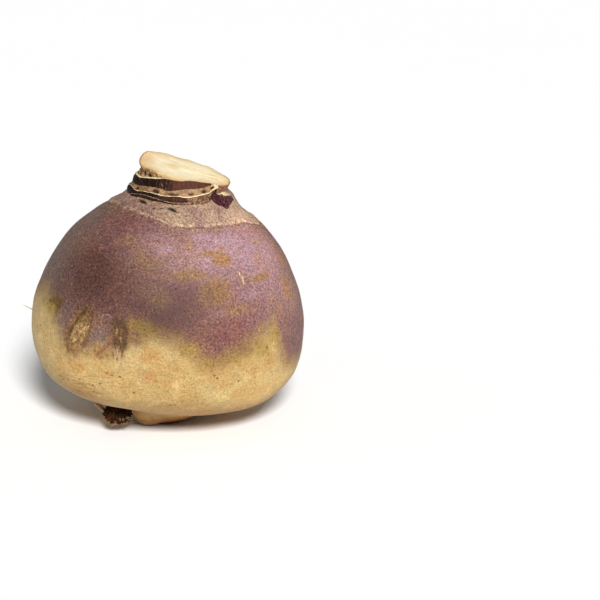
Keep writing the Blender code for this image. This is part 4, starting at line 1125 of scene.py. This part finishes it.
def leaf_cut():
    n = Nodes("leaf_cut_finish")
    across, vein, lined, cream = n.mark("across"), n.mark("vein"), n.mark("lined"), n.mark("cream")
    small = n.noise(0.0020, 3, 0.6)
    grain = n.noise(0.0009, 3, 0.65)
    colour = n.mix(n.fit(small, 0.36, 0.64), srgb(146, 112, 78), srgb(110, 78, 48))
    colour = n.mix(n.fit(grain, 0.52, 0.72, 0.0, 0.7), colour, srgb(182, 150, 112))
    lip = n.fit(n.math("ADD", n.math("MAXIMUM", across, cream), n.fit(grain, 0.3, 0.7, -0.05, 0.05, False)), 0.80, 0.95)
    colour = n.mix(lip, colour, srgb(216, 192, 150))
    inner = n.fit(n.math("ADD", across, cream), 0.16, 0.02)
    colour = n.mix(n.math("MULTIPLY", inner, 0.6), colour, srgb(112, 80, 48))
    colour = n.mix(n.fit(n.math("ADD", vein, n.fit(grain, 0.3, 0.7, -0.2, 0.2, False)), 0.20, 0.70), colour, srgb(46, 27, 13))
    dark = n.mix(n.fit(grain, 0.4, 0.6), srgb(40, 22, 14), srgb(86, 54, 36))
    colour = n.mix(n.fit(n.math("ADD", lined, n.fit(grain, 0.3, 0.7, -0.3, 0.3, False)), 0.65, 0.35), colour, dark)
    height = n.math("ADD", n.math("MULTIPLY", small, 0.6), n.math("MULTIPLY", grain, 0.6))
    return n.finish(colour, 0.6, height, 0.0003, specular=0.3)


def root_stub():
    n = Nodes("side_root_finish")
    small = n.noise(0.0021, 4, 0.65)
    fibre = n.noise(0.0009, 3, 0.6, where=n.stretch(1.0, 1.0, 0.4))
    colour = n.mix(n.fit(small, 0.35, 0.65), srgb(24, 11, 2), srgb(52, 27, 6))
    colour = n.mix(n.fit(fibre, 0.52, 0.72, 0.0, 0.8), colour, srgb(86, 52, 20))
    height = n.math("ADD", small, n.math("MULTIPLY", fibre, 0.7))
    return n.finish(colour, 0.85, height, 0.0006, specular=0.10)


def rootlet():
    n = Nodes("rootlet_finish")
    small = n.noise(0.0016, 2, 0.6)
    colour = n.mix(n.fit(small, 0.35, 0.65), srgb(168, 142, 106), srgb(132, 104, 72))
    return n.finish(colour, 0.7, small, 0.00005, specular=0.3)


# ================================================================= leaf bases
# Each is given by curves round the neck: the inner and outer edges of its cut end, and the foot of its outer face,
# all as direction, radius and height in mm. veins are dark spots in the cut end: direction, place from its inner
# edge to its outer one. lined is where the cut end is pale (1) or dried dark (0), tone how pale the outer face is,
# and corky where it is speckled with cork.
LEAVES = {
    "leaf_base_left": dict(
        inner=((150, 20.9, 114.9), (168, 21.3, 116.3), (184, 21.5, 116.9), (207, 21.5, 116.7), (222, 21.5, 117.4), (242, 21.5, 118.0), (248, 21.5, 118.1),
               (252, 21.2, 117.6), (256, 21.0, 117.2), (262, 20.9, 116.9), (268, 20.8, 116.7), (274, 20.5, 116.8), (284, 20.2, 116.5), (290, 20.0, 116.0),
               (296, 19.9, 115.5), (302, 19.8, 115.0), (310, 19.5, 114.4)),
        outer=((150, 21.6, 114.4), (168, 22.3, 115.8), (184, 22.4, 116.5), (199, 22.4, 116.6), (207, 22.4, 116.3), (214, 22.4, 116.6), (222, 22.4, 117.0),
               (228, 22.4, 117.2), (235.5, 22.4, 117.4), (242, 22.4, 117.7), (248, 22.4, 118.0), (251, 22.3, 117.9), (255, 22.3, 117.4), (262, 22.2, 117.1),
               (268, 22.1, 116.9), (274, 22.0, 117.1), (284, 21.8, 116.8), (290, 21.7, 116.3), (296, 21.5, 115.8), (302, 21.3, 115.3), (306, 20.8, 115.0), (310, 20.1, 114.5)),
        foot=((150, 21.9, 110.6), (168, 22.6, 112.2), (184, 22.7, 113.2), (205, 22.7, 113.1), (217, 22.7, 113.4), (228.5, 22.7, 113.7), (238, 22.7, 113.8), (247, 22.7, 113.5),
              (256, 22.6, 112.7), (264, 22.6, 112.9), (271, 22.6, 113.3), (280, 22.6, 113.6), (290, 22.5, 113.5), (300, 22.2, 113.7), (306, 21.6, 114.0), (310, 20.6, 114.2)),
        veins=(), groove=1.6, lined=((150, 1), (250, 1), (254, 0), (310, 0)), cream=((150, 1), (310, 1)),
        tone=((150, 0.3), (200, 0.05), (240, 0.0), (252, 0.12), (262, 0.55), (290, 0.75), (310, 0.7)), corky=((150, 0), (236, 0.0), (244, 0.28), (254, 0.3), (260, 0), (310, 0))),
    "leaf_base_front": dict(
        inner=((178, 22.1, 112.2), (184, 22.3, 113.3), (191, 22.3, 113.5), (205, 22.3, 113.3), (217, 22.3, 113.6), (228.5, 22.3, 113.9), (238, 22.3, 114.0), (247, 22.3, 113.7),
               (256, 22.3, 112.9), (264, 22.3, 113.1), (271, 22.3, 113.5), (280, 22.3, 113.8), (290, 22.3, 113.7), (300, 22.1, 113.9), (306, 21.9, 114.2), (312, 21.7, 114.4), (318, 21.4, 113.6)),
        outer=((178, 23.2, 111.2), (184, 23.9, 111.6), (191, 24.0, 111.9), (199, 24.0, 112.2), (207.5, 24.2, 111.9), (213, 24.3, 111.3), (219, 24.4, 111.2), (228.5, 24.6, 111.6), (238, 24.6, 111.6),
               (246, 24.6, 111.1), (252, 24.6, 110.7), (259, 24.6, 110.6), (266, 24.6, 110.7), (271, 24.6, 110.5), (278, 24.6, 110.0), (284, 24.6, 110.1), (291, 24.6, 110.5),
               (298, 24.4, 110.8), (303, 24.2, 111.1), (306, 24.0, 111.7), (311, 23.5, 112.3), (317, 22.8, 112.5), (319, 22.0, 112.9)),
        foot=((178, 23.4, 110.6), (184, 24.1, 109.3), (215, 24.2, 109.2), (228, 24.2, 109.7), (238, 24.2, 109.5), (246, 24.2, 108.9), (253, 24.2, 108.4), (260, 24.2, 107.8), (267, 24.2, 107.3),
              (275, 24.2, 107.1), (283, 24.3, 107.0), (294, 24.4, 106.7), (305, 24.1, 107.0), (312, 23.1, 109.6), (317, 22.4, 110.8), (319, 21.9, 112.2)),
        veins=((214.4, 0.50), (241.5, 0.40), (244.5, 0.48), (261.0, 0.42), (266.0, 0.62), (283.2, 0.50), (297.9, 0.42), (309.0, 0.30)), groove=0.9, lined=((178, 0.60), (240, 0.62), (256, 0.85), (264, 1), (319, 1)), cream=((178, 0), (302, 0), (309, 1), (319, 1)),
        tone=((178, 0.0), (240, 0.02), (250, 0.25), (270, 0.4), (285, 0.35), (300, 0.2), (319, 0.2)), corky=((178, 0), (276, 0), (284, 0.75), (304, 0.9), (309, 0.4), (319, 0.1))),
    "leaf_base_right": dict(
        inner=((308, 21.3, 110.6), (316, 21.3, 110.3), (320, 21.4, 109.8), (325, 21.4, 109.2), (332, 21.4, 109.3), (349, 21.4, 108.3), (360, 21.4, 107.5), (372, 21.3, 107.1), (388, 21.0, 107.6)),
        outer=((308, 22.0, 110.5), (312, 22.8, 110.8), (316, 22.6, 110.2), (320, 22.4, 109.5), (321.5, 22.5, 109.3), (323.6, 23.2, 108.9), (330, 23.8, 108.2), (342, 24.0, 107.4), (360, 24.0, 106.2),
               (372, 23.6, 105.9), (384, 22.6, 106.6), (388, 22.0, 107.2)),
        foot=((308, 22.3, 110.0), (311, 23.2, 108.8), (313, 24.2, 106.9), (318.5, 25.9, 105.2), (323, 26.8, 104.5), (326, 27.8, 103.7), (328, 28.6, 103.1), (331, 28.3, 103.4), (335, 27.6, 104.0),
              (342, 26.8, 104.5), (352, 26.3, 104.8), (366, 25.6, 105.2), (384, 23.4, 106.4), (388, 22.6, 107.0)),
        veins=((330, 0.35),), groove=0.8, lined=((308, 0), (319, 0), (322, 1), (388, 1)), cream=((308, 1), (388, 1)), tone=((308, 0.2), (325, 0.25), (345, 0.6), (388, 0.3)), corky=((308, 0.3), (320, 0.12), (326, 0.3), (345, 0.34), (388, 0.2))),
    "leaf_base_front_low": dict(
        inner=((206, 23.9, 109.0), (210, 24.0, 109.4), (216, 24.0, 109.65), (224, 24.0, 110.15), (231, 24.0, 110.25), (238, 24.0, 109.95), (245, 24.0, 109.45), (253, 24.0, 108.75), (260, 24.0, 108.15),
               (267, 24.0, 107.75), (274, 23.9, 107.65), (283, 23.8, 107.6), (288, 23.8, 107.3)),
        outer=((206, 24.3, 108.8), (210, 24.5, 109.3), (216, 24.6, 109.6), (224, 24.6, 110.1), (231, 24.6, 110.2), (238, 24.6, 109.9), (245, 24.6, 109.4), (253, 24.6, 108.7), (260, 24.6, 108.1),
               (267, 24.6, 107.7), (274, 24.6, 107.6), (283, 24.5, 107.5), (288, 24.2, 107.2)),
        foot=((206, 24.2, 108.4), (216, 24.3, 108.4), (224, 24.3, 108.8), (231, 24.3, 108.8), (245, 24.3, 108.3), (253, 24.3, 107.9), (260, 24.4, 107.5), (267, 24.5, 107.2), (274, 24.6, 107.1),
              (283, 24.5, 107.0), (288, 24.3, 106.9)),
        veins=(), groove=0.4, lined=((206, 1), (288, 1)), cream=((206, 1), (288, 1)), tone=((206, 0.1), (288, 0.5)), corky=((206, 0), (265, 0.2), (275, 0.9), (288, 1))),
    "leaf_base_back": dict(
        inner=((40, 20.5, 110.8), (52, 20.6, 112.0), (75, 20.7, 113.4), (98, 20.7, 114.2), (120, 20.9, 114.0), (136, 21.0, 113.2), (146, 20.9, 112.6)),
        outer=((40, 21.0, 110.6), (52, 22.6, 111.4), (75, 23.6, 112.2), (98, 23.9, 112.8), (120, 23.4, 112.8), (136, 22.2, 112.6), (146, 21.2, 112.4)),
        foot=((40, 21.3, 109.8), (52, 23.0, 107.6), (75, 24.0, 107.2), (98, 24.3, 107.6), (120, 23.8, 108.0), (136, 22.6, 109.0), (146, 21.5, 111.0)),
        veins=((62, 0.5), (80, 0.45), (98, 0.5), (116, 0.45), (130, 0.5)), groove=0.9, lined=((40, 1), (146, 1)), cream=((40, 0), (146, 0)), tone=((40, 0.4), (90, 0.1), (146, 0.2)), corky=((40, 0.6), (60, 0), (146, 0))),
    "leaf_base_back_low": dict(
        inner=((58, 22.8, 107.6), (72, 23.4, 108.8), (98, 23.8, 109.8), (124, 23.5, 109.8), (142, 22.6, 109.4), (152, 22.2, 109.2)),
        outer=((58, 23.3, 107.4), (72, 24.8, 108.3), (98, 25.9, 109.0), (124, 25.2, 109.2), (142, 23.8, 109.1), (152, 22.6, 109.0)),
        foot=((58, 23.8, 106.6), (72, 25.4, 105.2), (98, 26.4, 104.9), (124, 25.7, 105.6), (142, 24.3, 107.2), (152, 23.1, 108.2)),
        veins=((82, 0.5), (98, 0.45), (114, 0.5), (130, 0.5)), groove=0.6, lined=((58, 1), (152, 1)), cream=((58, 0), (152, 0)), tone=((58, 0.3), (152, 0.3)), corky=((58, 0.8), (72, 0), (152, 0))),
}


def build_leaf(name, spec, materials):
    start, end = spec["outer"][0][0], spec["outer"][-1][0]
    count = int((end - start) / 360 * 2 * math.pi * 24 / 0.24)
    d = np.linspace(start, end, count)

    def curve(key, i):
        points = spec[key]
        return through([q[0] for q in points], [q[i] for q in points], d)

    r_in, z_in, r_out, z_out, r_foot, z_foot = (curve(key, i) for key in ("inner", "outer", "foot") for i in (1, 2))
    spot = np.stack([np.cos(np.radians(d)) * 0.024, np.sin(np.radians(d)) * 0.024, np.zeros(count)], -1)
    wob2 = rough(spot, 0.0012, 2, shift=start + 5)
    r_out = r_out + 0.06 * rough(spot, 0.0035, 2, shift=start) + 0.04 * wob2
    z_out = z_out + 0.07 * rough(spot, 0.004, 2, shift=start + 9) + 0.05 * wob2
    z_in = z_in + 0.07 * rough(spot, 0.005, 2, shift=start + 13)
    z_foot = z_foot + 0.16 * rough(spot, 0.0014, 2, shift=start + 17)
    z_foot = np.minimum(z_foot, z_out - 0.3)
    tone, corky, lined, cream = (curve(key, 1) for key in ("tone", "corky", "lined", "cream"))
    cut_n, out_n = 12, 14
    loops, marks = [], {"across": [], "vein": [], "tone": [], "corky": [], "lined": [], "cream": []}

    def add_loop(r, z, across, vein=0.0):
        loops.append((r * np.ones(count), z * np.ones(count)))
        for key, value in (("across", across), ("vein", vein), ("tone", tone), ("corky", corky), ("lined", lined), ("cream", cream)):
            marks[key].append(value * np.ones(count))

    for k in range(cut_n + 1):                       # the cut end, from its inner to its outer edge
        v = k / cut_n
        r = r_in + (r_out - r_in) * v
        z = z_in + (z_out - z_in) * v
        wide = np.maximum(np.hypot(r_out - r_in, z_out - z_in), 0.2)
        sag = -0.24 * math.sin(math.pi * v) * np.clip(wide / 2.5, 0, 1) + 0.10 * math.exp(-(((v - 0.93) / 0.06) ** 2))
        vein = np.zeros(count)
        for at, middle in spec["veins"]:
            along = np.radians(d - at) * 24.0
            off = (v - middle) * wide
            vein = np.maximum(vein, np.exp(-((along / 1.45) ** 2) - (off / 0.74) ** 2))
        z = z + sag - 0.75 * vein + 0.08 * rough(np.stack([spot[:, 0], spot[:, 1], np.full(count, v * 0.004)], -1), 0.0012, 2, shift=2.0)
        add_loop(r, z, v, vein)
    for k in range(1, out_n + 1):                    # the outer face, down to its foot
        v = k / out_n
        z = z_out + (z_foot - z_out) * v
        r = r_out + (r_foot - r_out) * v ** 1.2 + 0.12 * math.sin(math.pi * v) - 0.20 * math.sin(math.pi * min(1.0, v * 2.2)) * (v < 0.45)
        fibre = rough(np.stack([spot[:, 0], spot[:, 1], z * MM * 0.2], -1), 0.0009, 2, shift=31.0)
        bead = rough(np.stack([spot[:, 0], spot[:, 1], z * MM], -1), 0.0011, 1, shift=37.0)
        r = r + (0.10 * fibre + 0.10 * bead * (0.4 + corky)) * math.sin(math.pi * min(1.0, v + 0.15))
        add_loop(r, z, 1.0)
    deep = spec["groove"]
    for r, z in ((r_foot - 0.7, z_foot - 0.5), (r_in - 1.3, z_foot - 0.3), (r_in - 1.5, (z_in + z_foot) / 2), (r_in - 0.9, z_in - deep), (r_in - 0.16, z_in - deep * 0.6)):
        add_loop(r, z, 0.0)                          # hidden faces, sunk in what the leaf base grows on, and the groove behind it
    lines = len(loops)
    verts = []
    for r, z in loops:
        cx, cy = neck_middle(z * MM)
        verts.append(np.stack([cx + r * MM * np.cos(np.radians(d)), cy + r * MM * np.sin(np.radians(d)), z * MM], -1))
    verts = np.concatenate(verts)
    faces, kinds, uvs = [], [], []
    lengths = [0.0]
    for a in range(lines):
        b = (a + 1) % lines
        lengths.append(lengths[-1] + float(np.linalg.norm(verts[b * count + count // 2] - verts[a * count + count // 2])))
    total = lengths[-1]
    for a in range(lines):
        b = (a + 1) % lines
        for i in range(count - 1):
            faces.append((a * count + i, a * count + i + 1, b * count + i + 1, b * count + i))
            kinds.append(0 if a < cut_n else 1)
            u0, u1 = 0.01 + 0.98 * i / (count - 1), 0.01 + 0.98 * (i + 1) / (count - 1)
            v0, v1 = 0.01 + 0.93 * lengths[a] / total, 0.01 + 0.93 * lengths[a + 1] / total
            uvs += [(u0, v0), (u1, v0), (u1, v1), (u0, v1)]
    ends = [tuple(a * count for a in range(lines)), tuple(a * count + count - 1 for a in reversed(range(lines)))]
    for e, ring in enumerate(ends):
        faces.append(ring)
        kinds.append(1)
        for k in range(lines):
            t = 2 * math.pi * k / lines
            uvs.append((0.03 + 0.06 * e + 0.02 * math.cos(t), 0.97 + 0.02 * math.sin(t)))
    made = make_mesh(name + "_finish", verts, faces, {k: np.concatenate(v) for k, v in marks.items()}, kinds, uvs, materials)
    bm = bmesh.new()
    bm.from_mesh(made.data)
    bmesh.ops.recalc_face_normals(bm, faces=bm.faces)
    bm.to_mesh(made.data)
    bm.free()
    made.data.set_sharp_from_angle(angle=math.radians(42))
    return made


# ================================================================= side root and rootlets
def build_stub(material):
    """The trimmed side root low on the left: a rough, fibrous knob; its torn fibres are made with the rootlets."""
    bm = bmesh.new()
    bmesh.ops.create_icosphere(bm, subdivisions=6, radius=1.0)
    p = np.array([v.co[:] for v in bm.verts])
    size = 1.0 + 0.16 * rough(p, 0.75, 2, shift=4.0) + 0.17 * rough(p, 0.26, 2, shift=6.0) + 0.09 * rough(p, 0.10, 2, shift=8.0)
    fibre = rough(np.stack([p[:, 0] * 1.0, p[:, 1] * 1.0, p[:, 2] * 0.25], -1), 0.16, 2, shift=9.0)
    q = p * (size + 0.10 * fibre)[:, None] * np.array([5.9, 5.4, 4.9])
    q[:, 2] = np.where(q[:, 2] < -3.4, -3.4 + (q[:, 2] + 3.4) * 0.55, q[:, 2])
    at = np.array(SIDE_ROOT_AT) + SHIFT
    world = at + q * MM
    world[:, 2] = np.maximum(world[:, 2], 0.0004)
    for v, c in zip(bm.verts, world):
        v.co = c
    mesh = bpy.data.meshes.new("side_root_stub")
    bm.to_mesh(mesh)
    bm.free()
    mesh.materials.append(material)
    mesh.shade_smooth()
    made = bpy.data.objects.new("side_root_stub", mesh)
    bpy.context.scene.collection.objects.link(made)
    return made


def tube(points, radii, sides=8):
    """Vertices and faces of a closed tapering tube along points."""
    points = np.asarray(points, float)
    n = len(points)
    tangents = np.gradient(points, axis=0)
    tangents /= np.linalg.norm(tangents, axis=1)[:, None]
    helper = np.array([0.3, 0.2, 0.93])
    verts, faces = [], []
    for p, t, r in zip(points, tangents, radii):
        a = np.cross(t, helper)
        a /= np.linalg.norm(a)
        b = np.cross(t, a)
        for k in range(sides):
            w = 2 * math.pi * k / sides
            verts.append(p + (a * math.cos(w) + b * math.sin(w)) * r)
    for i in range(n - 1):
        for k in range(sides):
            m = (k + 1) % sides
            faces.append((i * sides + k, i * sides + m, (i + 1) * sides + m, (i + 1) * sides + k))
    faces.append(tuple(reversed(range(sides))))
    faces.append(tuple((n - 1) * sides + k for k in range(sides)))
    return verts, faces


def build_rootlets(material):
    """Fine hairs: one on the left side, a few at the eyes, the stub and the taproot."""
    verts, faces = [], []
    rng = np.random.RandomState(SEED + 5)
    hairs = [(187.5, 54.4, 5.0, 0.26, (-0.95, -0.1, 0.25), 0.5)]
    for d, z, length, thick in ((236.5, 65.0, 1.6, 0.13), (228.5, 46.5, 1.8, 0.12), (250.0, 48.5, 1.5, 0.12), (205.0, 30.0, 2.2, 0.12), (38.0, 60.0, 3.0, 0.16),
                                (58.0, 49.0, 2.2, 0.13), (120.0, 26.0, 2.4, 0.13), (330.0, 24.0, 1.8, 0.12), (10.0, 38.0, 2.0, 0.12)):
        hairs.append((d, z, length, thick, None, rng.uniform(-0.6, 0.6)))
    for d, z, length, thick, way, bend in hairs:
        p0, n0, right, up = on_root(d, z)
        way = n0 if way is None else np.array(way) / np.linalg.norm(way)
        pts, rad = [], []
        for k in range(14):
            t = k / 13
            pts.append(p0 - n0 * 0.0006 + way * length * MM * t + (up * bend + right * 0.3 * bend) * length * MM * 0.5 * t * t + n0 * 0.0)
            rad.append(thick * MM * (1.0 - 0.72 * t) * (1 + 0.12 * math.sin(9 * t)))
        v, f = tube(pts, rad)
        base = len(verts)
        verts += v
        faces += [tuple(base + i for i in face) for face in f]
    # a thick strand that joins the side root from the left
    line = np.array([(-34.6, -18.6, 15.6), (-32.4, -20.6, 13.4), (-30.0, -21.4, 11.2), (-27.6, -21.2, 9.2), (-25.0, -20.8, 7.6)])
    ts = np.linspace(0.0, 4.0, 25)
    pts = np.stack([np.interp(ts, range(5), line[:, i]) for i in range(3)], -1) * MM
    pts[1:-1] = (pts[:-2] + pts[1:-1] * 2 + pts[2:]) / 4
    v, f = tube(pts, [MM * (0.5 + 0.6 * math.sin(math.pi * min(k / 24 + 0.12, 0.75)) + 0.12 * math.sin(1.9 * k)) for k in range(25)], 10)
    base = len(verts)
    verts += v
    faces += [tuple(base + i for i in face) for face in f]
    # torn fibres of the side root
    at = np.array(SIDE_ROOT_AT) + SHIFT
    for k in range(110):
        a = rng.uniform(0, 2 * math.pi)
        e = rng.uniform(-1.1, -0.1)
        out = np.array([math.cos(a) * math.cos(e), math.sin(a) * math.cos(e), math.sin(e)])
        start = at + out * np.array([5.6, 5.2, 4.0]) * MM
        length = rng.uniform(1.0, 2.8) * MM
        side = rng.normal(size=3)
        pts, rad = [], []
        for i in range(7):
            t = i / 6
            p = start - out * 0.0005 + out * length * t + side * length * 0.25 * t * t
            p[2] = max(p[2], 0.0004)
            pts.append(p + np.array([0, 0, 1e-6 * i]))
            rad.append(0.00021 * (1 - 0.7 * t))
        v, f = tube(pts, rad, 6)
        base = len(verts)
        verts += v
        faces += [tuple(base + i for i in face) for face in f]
    made = make_mesh("rootlets", verts, faces, materials=(material,))
    return made


# ================================================================= camera and light
ELEVATION = 15.0
camera_data = bpy.data.cameras.new("camera")
camera_data.lens = 150.0
camera_data.sensor_width = 36.0
camera_data.clip_start, camera_data.clip_end = 0.05, 20.0
camera = bpy.data.objects.new("camera", camera_data)
camera.location = (0.06055, -1.10808, 0.35336)
camera.rotation_euler = (math.radians(90.0 - ELEVATION), 0.0, 0.0)
bpy.context.scene.collection.objects.link(camera)
bpy.context.scene.camera = camera

scene = bpy.context.scene
scene.view_settings.view_transform = "Standard"
scene.view_settings.look = "None"
world = bpy.data.worlds.new("studio")
scene.world = world
world.use_nodes = True
world.node_tree.nodes["Background"].inputs["Color"].default_value = (1.0, 1.0, 1.0, 1.0)
world.node_tree.nodes["Background"].inputs["Strength"].default_value = 0.21


sun_data = bpy.data.lights.new("key_light", "SUN")
sun_data.energy = 5.1
sun_data.angle = math.radians(12.0)
sun = bpy.data.objects.new("key_light", sun_data)
sun.rotation_euler = Vector((-0.13, 0.85, -0.52)).to_track_quat("-Z", "Y").to_euler()
scene.collection.objects.link(sun)

floor_mesh = bpy.data.meshes.new("floor")
floor_mesh.from_pydata([(-4, -4, 0), (4, -4, 0), (4, 4, 0), (-4, 4, 0)], [], [(0, 1, 2, 3)])
floor = bpy.data.objects.new("floor", floor_mesh)
floor.location = (0, 0, -0.0001)
scene.collection.objects.link(floor)
floor_nodes = Nodes("floor_finish")
floor_mesh.materials.append(floor_nodes.finish(
    floor_nodes.mix(floor_nodes.noise(0.3, 2, 0.5), (0.960, 0.960, 0.960, 1.0), (0.968, 0.968, 0.968, 1.0)), 0.9, None, 0.0, specular=0.1))

# ================================================================= build it
root = build_root((root_skin(), cut_flesh(), cut_taproot()))
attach(root, "root")
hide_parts("root_body")

dark_skin = leaf_skin("leaf_skin_finish", srgb(20, 9, 6), srgb(84, 47, 34), srgb(62, 35, 25))
maroon_skin = leaf_skin("leaf_skin_right_finish", srgb(44, 13, 20), srgb(86, 44, 54), srgb(88, 56, 50))
cut = leaf_cut()
for name, spec in LEAVES.items():
    leaf = build_leaf(name, spec, (cut, maroon_skin if name == "leaf_base_right" else dark_skin))
    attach(leaf, "root")
    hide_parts(name)

stub = build_stub(root_stub())
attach(stub, "root")
hairs = build_rootlets(rootlet())
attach(hairs, "root")
